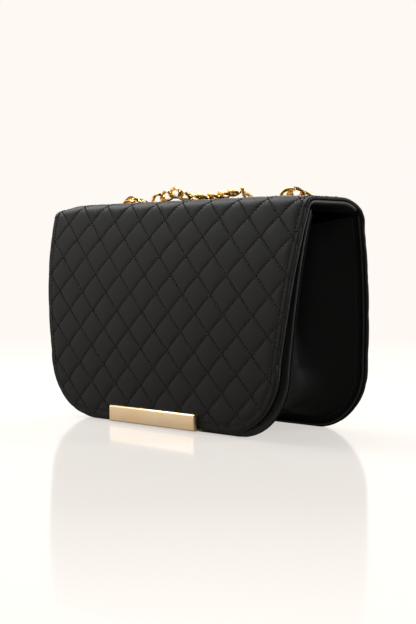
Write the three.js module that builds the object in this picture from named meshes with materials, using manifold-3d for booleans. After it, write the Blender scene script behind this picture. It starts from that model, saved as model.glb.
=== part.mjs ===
// A quilted flap purse with a metal chain strap, in millimetres, +Z up.
// +X is the wearer's right as the flap faces them, -Y is the front, and z = 0 is the ground.
// The purse is a soft box: a front and a back panel joined by a folded gusset, closed by a flap
// that is one strip with the back panel and bends along two creases.

import * as THREE from 'three';
import { mergeVertices } from 'three/addons/utils/BufferGeometryUtils.js';
import Module from 'manifold-3d';

const wasm = await Module();
wasm.setup();

// ---------------------------------------------------------------- driving dimensions

const GAP = 0.3;                    // clearance between pieces that touch

const HEIGHT = 160;                 // top of the closed flap
const TOP_HALF_WIDTH = 130;         // half width of the flap's top strip
const BAG_HALF_WIDTH = 127;         // half width of the front and back panels at the top
const CORNER = 46;                  // radius of the rounded bottom corners

const BACK_Y = 50.5;                 // outer face of the back panel at the ground
const BACK_TOP = 145.4;             // top edge of the back panel, just below its crease
const BACK_TOP_Y = 35;              // its outer face there
const FACE_Y = -42;                 // outer face of the hanging flap, at its lower half
const FACE_LEAN = 12.8;             // how far the flap's face falls back at the fold
const FLAP_BOTTOM = 3;              // lower edge of the flap
const FLAP_TO_PANEL = 8.2;          // from the flap's outer face to the front panel's
const FRONT_TOP = 151;              // top edge of the front panel, inside the fold

const SHELL = 2.4;                  // quilted leather with its padding
const FRONT_LEATHER = 1.8;          // the plain front panel
const GUSSET_LEATHER = 1.2;
const BOARD = 1.2;                  // stiffener inside the panels
const LINING = 0.8;
const FLAP_LINING = 2.5;            // lining with the flap's stiffener

const SEAM = 6;                     // width of the outward seam along the gusset
const INSET = 12;                   // how far boards and linings stay inside the outline
const FOLD_AT_BASE = 10;            // depth of the gusset's inward fold under the bag
const FOLD_GROWTH = 27;             // how much deeper the fold is at the mouth
const FOLD_REACH = 50;              // height over which the fold deepens
const BASE_SEAM_X = 58;             // where the side gussets are sewn to the base gusset

const FOLD_RADIUS = 9;              // outer radius of the flap's front fold
const FOLD_Y = -20.5;               // centre of the front fold
const FOLD_MIDDLE = 38;             // degrees from straight up to the fold's hinge line
const HINGE_ANGLE = 18;             // degrees left free on each side of that line

const EYELET_Y = 4;                 // the row of eyelets across the top
const EYELET_X = [-82, -48, 48, 82];
const EYELET_HOLE = 5.2;            // bore radius
const EYELET_BARREL = 5.9;
const EYELET_RIM = 7.6;

const CHAIN_RADIUS = 4;             // outer radius of the chain, links and all
const HANK_X = -48;                 // middle of the hank of spare chain on the ground
const HANK_Y = 98.5;
const HANK_HALF_RUN = 35;
const HANK_RADIUS = 38;

const BAR_HALF_LENGTH = 44.5;       // gold bar at the flap's lower edge
const BAR_TOP = 13;
const BAR_BOTTOM = 1.5;
const BAR_FRONT = -45;
const BAR_SCREW_X = 30;

const SNAP_Z = 44;                  // magnetic snap
const SNAP_RADIUS = 8;

const ZIP_Z = 112;                  // zip of the inner pocket
const ZIP_HALF_LENGTH = 74;

// Drawn with y = 0 near the eyelets; every piece then moves so that y = 0 is the body's middle.
const MIDDLE_Y = (BACK_Y + BAR_FRONT) / 2;

// ---------------------------------------------------------------- materials

function material(colour, roughness, metalness) {
  return new THREE.MeshStandardMaterial({ color: colour, roughness, metalness });
}

const LEATHER = material(0x262625, 0.48, 0);
const EDGE_LEATHER = material(0x1b1b1b, 0.5, 0);
const LINING_CLOTH = material(0x1e1d1f, 0.85, 0);
const BOARD_GREY = material(0x8a8378, 0.9, 0);
const PALE_GOLD = material(0xdebe91, 0.2, 1);
const GOLD = material(0xd2a04e, 0.22, 1);
const STEEL = material(0xb9b9b9, 0.3, 1);

const purse = new THREE.Group();

function add(name, geometry, look) {
  geometry.translate(0, -MIDDLE_Y, 0);
  const mesh = new THREE.Mesh(geometry, look);
  mesh.name = name;
  purse.add(mesh);
}

// ---------------------------------------------------------------- solids from grids

function signedVolume(points, triangles) {
  let volume = 0;
  for (const [a, b, c] of triangles) {
    volume += points[a].dot(new THREE.Vector3().crossVectors(points[b], points[c])) / 6;
  }
  return volume;
}

// A closed solid between two matching grids of points, each a list of rows.
function solidBetween(outer, inner) {
  const rows = outer.length;
  const columns = outer[0].length;
  const points = [...outer.flat(), ...inner.flat()];
  const triangles = [];
  const at = (side, row, column) => (side * rows + row) * columns + column;
  const quad = (a, b, c, d) => triangles.push([a, b, c], [a, c, d]);

  for (let r = 0; r < rows - 1; r++) {
    for (let c = 0; c < columns - 1; c++) {
      quad(at(0, r, c), at(0, r, c + 1), at(0, r + 1, c + 1), at(0, r + 1, c));
      quad(at(1, r, c), at(1, r + 1, c), at(1, r + 1, c + 1), at(1, r, c + 1));
    }
  }
  for (let c = 0; c < columns - 1; c++) {
    quad(at(0, 0, c), at(1, 0, c), at(1, 0, c + 1), at(0, 0, c + 1));
    quad(at(0, rows - 1, c), at(0, rows - 1, c + 1), at(1, rows - 1, c + 1), at(1, rows - 1, c));
  }
  for (let r = 0; r < rows - 1; r++) {
    quad(at(0, r, 0), at(0, r + 1, 0), at(1, r + 1, 0), at(1, r, 0));
    quad(at(0, r, columns - 1), at(1, r, columns - 1), at(1, r + 1, columns - 1), at(0, r + 1, columns - 1));
  }

  const flip = signedVolume(points, triangles) < 0;
  const index = triangles.flatMap(([a, b, c]) => (flip ? [a, c, b] : [a, b, c]));
  const geometry = new THREE.BufferGeometry();
  geometry.setAttribute('position', new THREE.Float32BufferAttribute(points.flatMap((p) => p.toArray()), 3));
  geometry.setIndex(index);
  geometry.computeVertexNormals();
  return geometry;
}

// Moves an open outline sideways by a distance, with mitred corners.
function offsetOutline(outline, distance) {
  return outline.map((point, i) => {
    const before = outline[Math.max(i - 1, 0)];
    const after = outline[Math.min(i + 1, outline.length - 1)];
    const arriving = point.clone().sub(before);
    const leaving = after.clone().sub(point);
    if (i === 0) arriving.copy(leaving);
    if (i === outline.length - 1) leaving.copy(arriving);
    arriving.normalize();
    leaving.normalize();
    const along = arriving.clone().add(leaving).normalize();
    const stretch = 1 / along.dot(arriving);
    return new THREE.Vector2(point.x - along.y * distance * stretch, point.y + along.x * distance * stretch);
  });
}

// A panel that is straight across the bag. The profile is its outer face in the YZ plane from
// the first edge to the last, with the bag on its left, and halfWidths has one value per point.
function panel(profile, halfWidths, from, to) {
  const face = (depth) => offsetOutline(profile, depth).map((point, i) => [
    new THREE.Vector3(-halfWidths[i], point.x, point.y),
    new THREE.Vector3(0, point.x, point.y),
    new THREE.Vector3(halfWidths[i], point.x, point.y),
  ]);
  return solidBetween(face(from), face(to));
}

// ---------------------------------------------------------------- cutting

function toManifold(geometry) {
  const bare = geometry.clone();
  bare.deleteAttribute('normal');
  bare.deleteAttribute('uv');
  const merged = mergeVertices(bare, 1e-4);
  return new wasm.Manifold(new wasm.Mesh({
    numProp: 3,
    vertProperties: new Float32Array(merged.attributes.position.array),
    triVerts: new Uint32Array(merged.index.array),
  }));
}

function fromManifold(solid) {
  const mesh = solid.getMesh();
  const geometry = new THREE.BufferGeometry();
  geometry.setAttribute('position', new THREE.Float32BufferAttribute(Array.from(mesh.vertProperties), 3));
  geometry.setIndex(Array.from(mesh.triVerts));
  geometry.computeVertexNormals();
  return geometry;
}

function cut(geometry, tools) {
  let solid = toManifold(geometry);
  for (const tool of tools) solid = solid.subtract(toManifold(tool));
  return fromManifold(solid);
}

function uprightCylinder(radius, low, high, x, y, sides = 28) {
  const cylinder = new THREE.CylinderGeometry(radius, radius, high - low, sides);
  cylinder.rotateX(Math.PI / 2);
  cylinder.translate(x, y, (low + high) / 2);
  return cylinder;
}

function deepCylinder(radius, front, back, x, z, sides = 24) {
  const cylinder = new THREE.CylinderGeometry(radius, radius, back - front, sides);
  cylinder.translate(x, (front + back) / 2, z);
  return cylinder;
}

function block(low, high) {
  const box = new THREE.BoxGeometry(high[0] - low[0], high[1] - low[1], high[2] - low[2]);
  box.translate((low[0] + high[0]) / 2, (low[1] + high[1]) / 2, (low[2] + high[2]) / 2);
  return box;
}

// ---------------------------------------------------------------- the bag's curves

const radians = THREE.MathUtils.degToRad;

// Outer face of the back panel: it leans in towards the crease.
function backY(z) {
  return BACK_Y - (BACK_Y - BACK_TOP_Y) * (z / BACK_TOP) * (z / BACK_TOP);
}

// Outer face of the flap's hanging part: upright below, falling back to the fold above.
function faceY(z) {
  const rise = Math.max(z - 30, 0) / (FRONT_TOP - 30);
  return FACE_Y + FACE_LEAN * Math.pow(rise, 2.6);
}

function frontY(z) {
  return faceY(z) + FLAP_TO_PANEL;
}

// Half width of the front and back panels above their rounded corners.
function bagHalfWidth(z) {
  const down = (FRONT_TOP - z) / FRONT_TOP;
  return BAG_HALF_WIDTH - 5 * down - 8 * down * down;
}

// The flap narrows a little more than the bag.
function flapHalfWidth(z) {
  const down = (HEIGHT - z) / (HEIGHT - FLAP_BOTTOM);
  return TOP_HALF_WIDTH - 12 * down - 10 * down * down;
}

// Rows of a rounded panel from its top edge to its bottom edge: height and half width.
function roundedRows(top, bottom, radius, widthAt, straightSteps) {
  const rows = [];
  const cornerTop = bottom + radius;
  for (let i = 0; i < straightSteps; i++) {
    const z = THREE.MathUtils.lerp(top, cornerTop, i / straightSteps);
    rows.push({ z, half: widthAt(z) });
  }
  const cornerHalf = widthAt(cornerTop);
  for (let degrees = 0; degrees <= 90; degrees += 15) {
    rows.push({
      z: cornerTop - radius * Math.sin(radians(degrees)),
      half: cornerHalf - radius + radius * Math.cos(radians(degrees)),
    });
  }
  return rows;
}

function roundedPanel(yAt, rows, from, to) {
  const profile = rows.map((row) => new THREE.Vector2(yAt(row.z), row.z));
  return panel(profile, rows.map((row) => row.half), from, to);
}

// ---------------------------------------------------------------- front and back panels

const bagRows = (top) => roundedRows(top, 0, CORNER, bagHalfWidth, 7);
const innerRows = (top, inset) => roundedRows(
  top, inset, CORNER - inset, (z) => bagHalfWidth(z) - inset, 7,
);

// The profile runs downwards, so a positive depth goes into the bag at the front (+Y) and a
// negative depth goes into it at the back (-Y).
add('front_panel', roundedPanel(frontY, bagRows(FRONT_TOP), 0, FRONT_LEATHER), LEATHER);
add('back_panel', roundedPanel(backY, bagRows(BACK_TOP), 0, -SHELL), LEATHER);

const frontBoardAt = FRONT_LEATHER + GAP;
const frontLiningAt = frontBoardAt + BOARD + GAP;
const backBoardAt = SHELL + GAP;
const pocketAt = backBoardAt + BOARD + GAP;
const backLiningAt = pocketAt + LINING + GAP;

add('front_board', roundedPanel(frontY, innerRows(146, INSET), frontBoardAt, frontBoardAt + BOARD), BOARD_GREY);
add('front_lining', roundedPanel(frontY, innerRows(149, INSET), frontLiningAt, frontLiningAt + LINING), LINING_CLOTH);
add('back_board', roundedPanel(backY, innerRows(138, INSET), -backBoardAt, -backBoardAt - BOARD), BOARD_GREY);

// The back lining has a slot for the inner pocket's zip. The layers lean with the panel, so the
// slot sits a little lower than the same height on the outer face.
const lining = roundedPanel(backY, innerRows(141, INSET), -backLiningAt, -backLiningAt - LINING);
const slot = block([-ZIP_HALF_LENGTH - 1, 20, ZIP_Z - 6.6], [ZIP_HALF_LENGTH + 1, 60, ZIP_Z + 5]);
add('back_lining', cut(lining, [slot]), LINING_CLOTH);

// ---------------------------------------------------------------- gusset

// Points around the rim of the bag's right half, from the mouth to the middle of the base,
// each with the direction into the bag.
function sideRim(top) {
  const rim = [];
  for (let i = 0; i < 7; i++) {
    const z = THREE.MathUtils.lerp(top, CORNER, i / 7);
    const slope = (bagHalfWidth(z + 1) - bagHalfWidth(z - 1)) / 2;
    const inward = new THREE.Vector2(-1, slope).normalize();
    rim.push({ x: bagHalfWidth(z), z, inward });
  }
  const half = bagHalfWidth(CORNER);
  for (let degrees = 0; degrees <= 90; degrees += 15) {
    const turn = radians(degrees);
    rim.push({
      x: half - CORNER + CORNER * Math.cos(turn),
      z: CORNER - CORNER * Math.sin(turn),
      inward: new THREE.Vector2(-Math.cos(turn), Math.sin(turn)),
    });
  }
  rim.push({ x: BASE_SEAM_X, z: 0, inward: new THREE.Vector2(0, 1) });
  return rim;
}

function baseRim() {
  const end = BASE_SEAM_X - GAP;
  return [end, 0, -end].map((x) => ({ x, z: 0, inward: new THREE.Vector2(0, 1) }));
}

// The gusset's cross-section at one rim point, as (depth into the bag, y) pairs: a flat seam
// along the front panel, a rounded fold into the bag, and a flat seam along the back panel.
function gussetSection(rim, seamWidth) {
  const depth = FOLD_AT_BASE + FOLD_GROWTH * (1 - Math.exp(-rim.z / FOLD_REACH));
  const yAt = (inward, share) => {
    const z = rim.z + rim.inward.y * inward;
    const front = frontY(z) + FRONT_LEATHER + GAP + GUSSET_LEATHER;
    const back = backY(z) - SHELL - GAP - GUSSET_LEATHER;
    return THREE.MathUtils.lerp(front, back, share);
  };
  const softness = 0.2;
  const blunt = (k) => Math.sqrt(k * k + softness * softness);
  const section = [];
  if (seamWidth > 0) section.push(new THREE.Vector2(0, yAt(0, 0)));
  const steps = 12;
  for (let i = 0; i <= steps; i++) {
    const k = (2 * i) / steps - 1;
    const inward = SEAM + depth * (blunt(1) - blunt(k)) / (blunt(1) - blunt(0));
    section.push(new THREE.Vector2(inward, yAt(SEAM, i / steps)));
  }
  if (seamWidth > 0) section.push(new THREE.Vector2(0, yAt(0, 1)));
  return section;
}

// A skin that follows the fold, between two distances behind the gusset's finished face. Its
// mouth edge dips towards the fold line by the given amount.
function gussetSkin(rim, seamWidth, from, to, dip, mirror) {
  const grid = (distance) => rim.map((point, row) => {
    const section = offsetOutline(gussetSection(point, seamWidth), -distance);
    const trimmed = seamWidth > 0 ? section : section.slice(1, -1);
    const lowered = row === 0 ? dip : 0;
    return trimmed.map((spot) => new THREE.Vector3(
      mirror * (point.x + point.inward.x * spot.x),
      spot.y,
      point.z + point.inward.y * spot.x - lowered * Math.max(spot.x - SEAM, 0) / (FOLD_AT_BASE + FOLD_GROWTH),
    ));
  });
  return solidBetween(grid(from), grid(to));
}

const liningBehind = GUSSET_LEATHER + GAP;
for (const [side, mirror] of [['right', 1], ['left', -1]]) {
  add(`gusset_${side}`, gussetSkin(sideRim(147), SEAM, 0, GUSSET_LEATHER, 9, mirror), LEATHER);
  add(`lining_${side}`,
    gussetSkin(sideRim(141), 0, liningBehind, liningBehind + LINING, 5, mirror), LINING_CLOTH);
}
add('gusset_base', gussetSkin(baseRim(), SEAM, 0, GUSSET_LEATHER, 0, 1), LEATHER);
add('lining_base', gussetSkin(baseRim(), 0, liningBehind, liningBehind + LINING, 0, 1), LINING_CLOTH);

const boardZ = SEAM + FOLD_AT_BASE + liningBehind + LINING + GAP + 0.2;
add('base_board', block([-60, -28, boardZ], [60, 42, boardZ + 1.5]), BOARD_GREY);

// ---------------------------------------------------------------- flap, top part

function foldPoint(radius, degrees) {
  return new THREE.Vector2(
    FOLD_Y - radius * Math.sin(radians(degrees)),
    HEIGHT - FOLD_RADIUS + radius * Math.cos(radians(degrees)),
  );
}

// From the rear crease over the flat top to the front fold.
const topProfile = [
  new THREE.Vector2(31, 150.3),
  new THREE.Vector2(27.5, 153.4),
  new THREE.Vector2(23, 156.3),
  new THREE.Vector2(17.5, 158.6),
  new THREE.Vector2(11, HEIGHT),
  new THREE.Vector2(-8, HEIGHT),
  foldPoint(FOLD_RADIUS, 0),
  foldPoint(FOLD_RADIUS, 10),
  foldPoint(FOLD_RADIUS, FOLD_MIDDLE - HINGE_ANGLE),
];
const topHalfWidths = topProfile.map(() => TOP_HALF_WIDTH);
const flapLiningAt = SHELL + GAP;

const eyeletHoles = EYELET_X.map((x) => uprightCylinder(EYELET_BARREL + GAP, 140, 170, x, EYELET_Y));
add('flap_top_shell', cut(panel(topProfile, topHalfWidths, 0, SHELL), eyeletHoles), LEATHER);
add('flap_top_lining',
  cut(panel(topProfile, topHalfWidths.map((half) => half - 1), flapLiningAt, flapLiningAt + FLAP_LINING), eyeletHoles),
  EDGE_LEATHER);

// Each eyelet is a flanged barrel with a washer under the lining.
function ring(outline) {
  const profile = outline.map(([radius, z]) => new THREE.Vector2(radius, z));
  profile.push(profile[0].clone());
  const lathe = new THREE.LatheGeometry(profile, 28);
  lathe.rotateX(Math.PI / 2);
  return lathe;
}

const washerTop = HEIGHT - flapLiningAt - FLAP_LINING - GAP;
EYELET_X.forEach((x, i) => {
  const rimLow = HEIGHT + GAP;
  const eyelet = ring([
    [EYELET_HOLE, washerTop - 1.2], [EYELET_BARREL, washerTop - 1.2], [EYELET_BARREL, rimLow],
    [EYELET_RIM, rimLow], [EYELET_RIM - 0.3, rimLow + 0.7], [EYELET_RIM - 1.1, rimLow + 1.1],
    [EYELET_HOLE + 0.5, rimLow + 1], [EYELET_HOLE, rimLow + 0.5],
  ]);
  eyelet.translate(x, EYELET_Y, 0);
  add(`eyelet_${i + 1}`, eyelet, GOLD);
  const washer = ring([
    [EYELET_BARREL + GAP, washerTop - 0.9], [EYELET_RIM, washerTop - 0.9],
    [EYELET_RIM, washerTop], [EYELET_BARREL + GAP, washerTop],
  ]);
  washer.translate(x, EYELET_Y, 0);
  add(`eyelet_washer_${i + 1}`, washer, GOLD);
});

// ---------------------------------------------------------------- flap, front part

const faceRows = roundedRows(FRONT_TOP, FLAP_BOTTOM, CORNER, flapHalfWidth, 8);
const foldEnd = foldPoint(FOLD_RADIUS, FOLD_MIDDLE + HINGE_ANGLE);
const faceProfile = [foldEnd, ...faceRows.map((row) => new THREE.Vector2(faceY(row.z), row.z))];
const faceHalfWidths = [flapHalfWidth(foldEnd.y), ...faceRows.map((row) => row.half)];

const barBack = FACE_Y + SHELL + FLAP_LINING + GAP + 0.9;
const screwZ = 7.5;
const screwHoles = [-BAR_SCREW_X, BAR_SCREW_X].map((x) => deepCylinder(1.5 + GAP, -44, -30, x, screwZ));
add('flap_front_shell', cut(panel(faceProfile, faceHalfWidths, 0, SHELL), screwHoles), LEATHER);
add('flap_front_lining',
  cut(panel(faceProfile, faceHalfWidths, flapLiningAt, flapLiningAt + FLAP_LINING), screwHoles), EDGE_LEATHER);

// The gold bar is an L: a bevelled front plate and a lip under the flap's edge.
function goldBar() {
  const front = BAR_FRONT;
  const plateBack = FACE_Y - GAP;
  const section = new THREE.Shape([
    new THREE.Vector2(front + 0.9, BAR_TOP), new THREE.Vector2(front, BAR_TOP - 1.2),
    new THREE.Vector2(front, BAR_BOTTOM + 1.2), new THREE.Vector2(front + 0.9, BAR_BOTTOM),
    new THREE.Vector2(barBack - GAP, BAR_BOTTOM), new THREE.Vector2(barBack - GAP, FLAP_BOTTOM - GAP),
    new THREE.Vector2(plateBack, FLAP_BOTTOM - GAP), new THREE.Vector2(plateBack, BAR_TOP),
  ]);
  const bar = new THREE.ExtrudeGeometry(section, { depth: 2 * BAR_HALF_LENGTH, bevelEnabled: false });
  bar.applyMatrix4(new THREE.Matrix4().makeBasis(
    new THREE.Vector3(0, 1, 0), new THREE.Vector3(0, 0, 1), new THREE.Vector3(1, 0, 0),
  ));
  bar.translate(-BAR_HALF_LENGTH, 0, 0);
  return bar;
}

const blindHoles = [-BAR_SCREW_X, BAR_SCREW_X].map((x) => deepCylinder(1 + GAP, -44, -40, x, screwZ));
add('flap_bar', cut(goldBar(), blindHoles), PALE_GOLD);

const plate = block([-BAR_HALF_LENGTH + 2, barBack, BAR_BOTTOM], [BAR_HALF_LENGTH - 2, barBack + 0.8, BAR_TOP - 2]);
const plateHoles = [-BAR_SCREW_X, BAR_SCREW_X].map((x) => deepCylinder(1 + GAP, -42, -34, x, screwZ));
add('flap_bar_plate', cut(plate, plateHoles), PALE_GOLD);

for (const [side, x] of [['left', -BAR_SCREW_X], ['right', BAR_SCREW_X]]) {
  const screw = ring([
    [0, 0], [1, 0], [1, 7.1], [2.1, 7.1], [2.1, 7.5], [1.6, 7.8], [0, 7.8],
  ]);
  screw.rotateX(-Math.PI / 2);
  screw.translate(x, BAR_FRONT + 1.3, screwZ);
  add(`flap_bar_screw_${side}`, screw, STEEL);
}

// ---------------------------------------------------------------- magnetic snap

const flapInside = FACE_Y + flapLiningAt + FLAP_LINING;
const snapPlate = (front, thickness, radius) => deepCylinder(radius, front, front + thickness, 0, SNAP_Z);
add('snap_stud', snapPlate(flapInside + GAP, 1, SNAP_RADIUS), GOLD);
add('snap_socket', snapPlate(frontY(SNAP_Z) - GAP - 1.1, 1.1, SNAP_RADIUS), GOLD);

// ---------------------------------------------------------------- inner pocket

const pocketRows = [
  { z: ZIP_Z + 8, half: ZIP_HALF_LENGTH + 4 },
  { z: 80, half: ZIP_HALF_LENGTH + 4 },
  { z: 40, half: ZIP_HALF_LENGTH + 4 },
];
add('pocket_bag', roundedPanel(backY, pocketRows, -pocketAt, -pocketAt - LINING + 0.2), LINING_CLOTH);

// Two tapes meet along the middle of the slot, between two end stops.
const tapeAt = backLiningAt;
function tape(low, high) {
  const rows = [{ z: high, half: ZIP_HALF_LENGTH }, { z: low, half: ZIP_HALF_LENGTH }];
  return roundedPanel(backY, rows, -tapeAt, -tapeAt - 1);
}
add('zip_tape_upper', tape(ZIP_Z + 0.2, ZIP_Z + 5.2), LINING_CLOTH);
add('zip_tape_lower', tape(ZIP_Z - 5.2, ZIP_Z - 0.2), LINING_CLOTH);

const zipFace = backY(ZIP_Z) - tapeAt - 1;
function zipStop(x) {
  return block([x - 1.5, zipFace - 1.9, ZIP_Z - 3], [x + 1.5, zipFace - 0.9, ZIP_Z + 3]);
}
add('zip_stop_left', zipStop(-ZIP_HALF_LENGTH + 2), GOLD);
add('zip_stop_right', zipStop(ZIP_HALF_LENGTH - 2), GOLD);

const sliderX = -ZIP_HALF_LENGTH + 9;
add('zip_slider', block([sliderX - 4.5, zipFace - 3, ZIP_Z - 3.5], [sliderX + 4.5, zipFace - 0.9, ZIP_Z + 3.5]), GOLD);
add('zip_pull', block([sliderX - 2.5, zipFace - 4.6, ZIP_Z - 22], [sliderX + 2.5, zipFace - 3.3, ZIP_Z + 2]), GOLD);

// ---------------------------------------------------------------- chain

function tube(points, steps) {
  const path = new THREE.CatmullRomCurve3(points.map((p) => new THREE.Vector3(...p)), false, 'centripetal');
  const circle = [];
  for (let i = 0; i < 10; i++) {
    const turn = (i / 10) * 2 * Math.PI;
    circle.push(new THREE.Vector2(CHAIN_RADIUS * Math.cos(turn), CHAIN_RADIUS * Math.sin(turn)));
  }
  return new THREE.ExtrudeGeometry(new THREE.Shape(circle), { steps, extrudePath: path, bevelEnabled: false });
}

// Half of the run that comes up through an inner eyelet and crosses the top.
const crossing = [
  [65.5, 4, 147], [59, 4, 147], [53, 4, 147.7], [49.6, 4, 150], [48.3, 4, 153.5], [48, 4, 158], [47.7, 4, 162.6],
  [45.2, 4, 166.2], [39.5, 4, 167.4], [31, 4, 166.2], [20, 4, 164.9], [9, 4, 164.5],
];
const mirrored = (points) => points.map(([x, y, z]) => [-x, y, z]);
add('chain_crossing', tube([...crossing, [0, 4, 164.5], ...mirrored(crossing).reverse()], 60), GOLD);

// From inside the flap up through an outer eyelet and back towards the crease.
const rise = [
  [66.3, 4, 147], [71, 4, 147], [77, 4, 147.7], [80.4, 4, 150], [81.7, 4, 153.5], [82, 4, 158], [82, 4.2, 162.6],
  [82, 7.2, 165.9], [82, 12.6, 166.2], [82, 19.4, 164.2], [82, 25, 160.8],
];

// Over the crease and down the outside of the back panel, drifting towards the middle.
const hang = (z) => backY(z) + CHAIN_RADIUS + 0.9;
const descent = [
  [82, 25.8, 160.2], [82, 31, 156.9], [82, 36, 152], [82, 39.4, 147], [82, hang(138), 138],
  [81.6, hang(115), 115], [80.4, hang(90), 90], [78, hang(65), 65], [74.5, hang(42), 42],
];

const landing = [
  [70, hang(26) + 0.4, 25], [65, 57.5, 13], [57, 61.5, 6.4], [46, 64.5, 4.6], [31, 65.8, 4.4], [12.6, 66, 4.4],
];
const overHank = [
  [-73.6, hang(28) + 0.8, 27], [-74, 59.5, 18.5], [-73, 67, 14.6], [-67, 75.5, 13.6], [-57, 81.5, 13.4],
];
add('chain_rise_right', tube(rise, 26), GOLD);
add('chain_rise_left', tube(mirrored(rise), 26), GOLD);
add('chain_drop_right', tube([...descent, ...landing], 44), GOLD);
add('chain_drop_left', tube([...mirrored(descent), ...overHank], 40), GOLD);

// The spare chain, wound flat on the ground behind the bag.
function hank() {
  const outline = new THREE.Shape();
  outline.absarc(HANK_HALF_RUN, 0, HANK_RADIUS, -Math.PI / 2, Math.PI / 2, false);
  outline.absarc(-HANK_HALF_RUN, 0, HANK_RADIUS, Math.PI / 2, 1.5 * Math.PI, false);
  outline.closePath();
  const solid = new THREE.ExtrudeGeometry(outline, { depth: 2 * CHAIN_RADIUS + 1, bevelEnabled: false, curveSegments: 14 });
  solid.translate(HANK_X, HANK_Y, 0);
  return solid;
}
add('chain_hank', hank(), GOLD);

export default purse;
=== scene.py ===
"""The looks of a quilted flap purse with a chain strap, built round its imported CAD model.

Shapes are worked out in millimetres in the CAD drawing's frame: +Z up, -Y out of the flap's
face, z = 0 the ground, and y = 0 near the eyelets. place() turns that into the model's metres.
The "strip" is the quilted leather that forms the back panel, the top and the flap in one piece.
A point on it is (x, s): s is the distance along the strip from the line on the top where the two
meshes that make it up meet, positive towards the flap's lower edge.
"""

import math

import bmesh
import bpy
import numpy as np
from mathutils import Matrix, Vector
from mathutils.geometry import delaunay_2d_cdt
from mathutils.kdtree import KDTree


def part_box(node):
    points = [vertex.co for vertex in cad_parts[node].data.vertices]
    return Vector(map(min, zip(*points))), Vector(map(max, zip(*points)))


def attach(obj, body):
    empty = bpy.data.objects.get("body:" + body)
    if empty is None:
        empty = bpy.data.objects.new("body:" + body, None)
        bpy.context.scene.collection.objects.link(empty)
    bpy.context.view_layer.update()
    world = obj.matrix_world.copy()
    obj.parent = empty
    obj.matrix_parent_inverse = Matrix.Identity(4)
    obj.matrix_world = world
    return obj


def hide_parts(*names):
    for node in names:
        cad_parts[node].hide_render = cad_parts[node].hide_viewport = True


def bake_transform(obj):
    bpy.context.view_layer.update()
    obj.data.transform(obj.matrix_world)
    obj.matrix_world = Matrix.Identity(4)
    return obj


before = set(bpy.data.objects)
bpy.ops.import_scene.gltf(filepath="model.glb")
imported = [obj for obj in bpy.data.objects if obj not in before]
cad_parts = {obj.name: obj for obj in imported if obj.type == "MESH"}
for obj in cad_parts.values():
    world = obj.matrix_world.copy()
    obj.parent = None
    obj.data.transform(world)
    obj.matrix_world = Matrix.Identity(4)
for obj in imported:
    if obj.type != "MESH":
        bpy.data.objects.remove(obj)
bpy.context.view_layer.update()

# ------------------------------------------------------------------ driving dimensions

MM = 0.001
MIDDLE_Y = 2.75  # the drawing's y at the middle of the bag's body, which is y = 0 in the model


def drawn_box(node):
    """A CAD node's box in the drawing's millimetres."""
    low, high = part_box(node)
    shift = np.array([0, MIDDLE_Y, 0])
    return np.array(low) / MM + shift, np.array(high) / MM + shift


flap_low, _ = drawn_box("flap_front_shell")
_, top_high = drawn_box("flap_top_shell")
_, back_high = drawn_box("back_panel")
_, front_high = drawn_box("front_panel")
bar_low, bar_high = drawn_box("flap_bar")

HEIGHT = top_high[2]
TOP_HALF_WIDTH = top_high[0]
BAG_HALF_WIDTH = front_high[0]
FRONT_TOP = front_high[2]
BACK_Y = back_high[1]
BACK_TOP = back_high[2]
BACK_TOP_Y = 35.0  # the back panel leans forward to here
FACE_Y = flap_low[1]
FACE_LEAN = 12.8  # how far the flap's face falls back at the fold
FLAP_BOTTOM = flap_low[2]
FLAP_TO_PANEL = 8.2  # from the flap's face to the front panel's
CORNER = 46.0  # radius of the rounded bottom corners
FOLD_RADIUS = 9.0  # of the fold between the top and the flap's face
FOLD_Y = -20.5
SPLIT_Y = -9.0  # the line on the top where the strip's two meshes meet
DROOP_LEFT = 3.4  # how far the top's soft ends sink
DROOP_RIGHT = 1.0

SHELL = 2.4  # quilted layer
FLAP_LINING = 2.5
FRONT_LEATHER = 1.8
GUSSET_LEATHER = 1.2
LINING_CLOTH = 0.8
GAP = 0.3

QUILT_X = 13.555  # half a diamond across
QUILT_S = 13.135  # half a diamond along the strip
QUILT_CELL = 2 * QUILT_X * QUILT_S / math.hypot(QUILT_X, QUILT_S)
QUILT_ORIGIN_X = -27.3
QUILT_ORIGIN_Z = 146.2
GROOVE = -0.34  # height of the leather at a quilting line, from the CAD face
PUFF = 0.35  # height at the middle of a diamond
EDGE_LEVEL = -0.2  # height of the border outside the edge stitches
EDGE_ROW = 4.4  # from the edge to the row of edge stitches
STITCH_PITCH = 2.8

SEAM = 6.0  # width of the gusset's flat seam
SEAM_BEAD_RADIUS = 0.9  # the rolled edge along it
FOLD_AT_BASE = 10.0  # how far the gusset folds in at the ground
FOLD_GROWTH = 27.0  # how much further it folds in higher up
FOLD_REACH = 50.0  # over about this height
FOLD_LEAN = 0.04  # the fold sits this share of the depth nearer the back
BASE_SEAM_X = 58.0  # where the side gussets meet the base gusset
THREAD_RADIUS = 0.28
THREAD_RISE = 0.35

EYELET_Y = 4.0
EYELET_X = (-82.0, -48.0, 48.0, 82.0)

CHAIN_RADIUS = 4.0
CHAIN_DIAMETER = 9.0
LINK_LENGTH = 14.6
LINK_PITCH = 9.9
LINK_TWIST = 42.0  # degrees from a link's middle to each end
STRAP_ROLL = 12.0  # degrees the strap's links are turned about their line
WIRE_RADIUS = 1.2

rng = np.random.default_rng(7)


def place(x, y, z):
    """A point of the drawing as a point of the model, in metres."""
    return Vector((x * MM, (y - MIDDLE_Y) * MM, z * MM))


# ------------------------------------------------------------------ camera, light and floor


def add_to_scene(name, data):
    thing = bpy.data.objects.new(name, data)
    bpy.context.scene.collection.objects.link(thing)
    return thing


def aim(thing, target):
    thing.rotation_euler = (target - thing.location).to_track_quat("-Z", "Y").to_euler()


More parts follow.
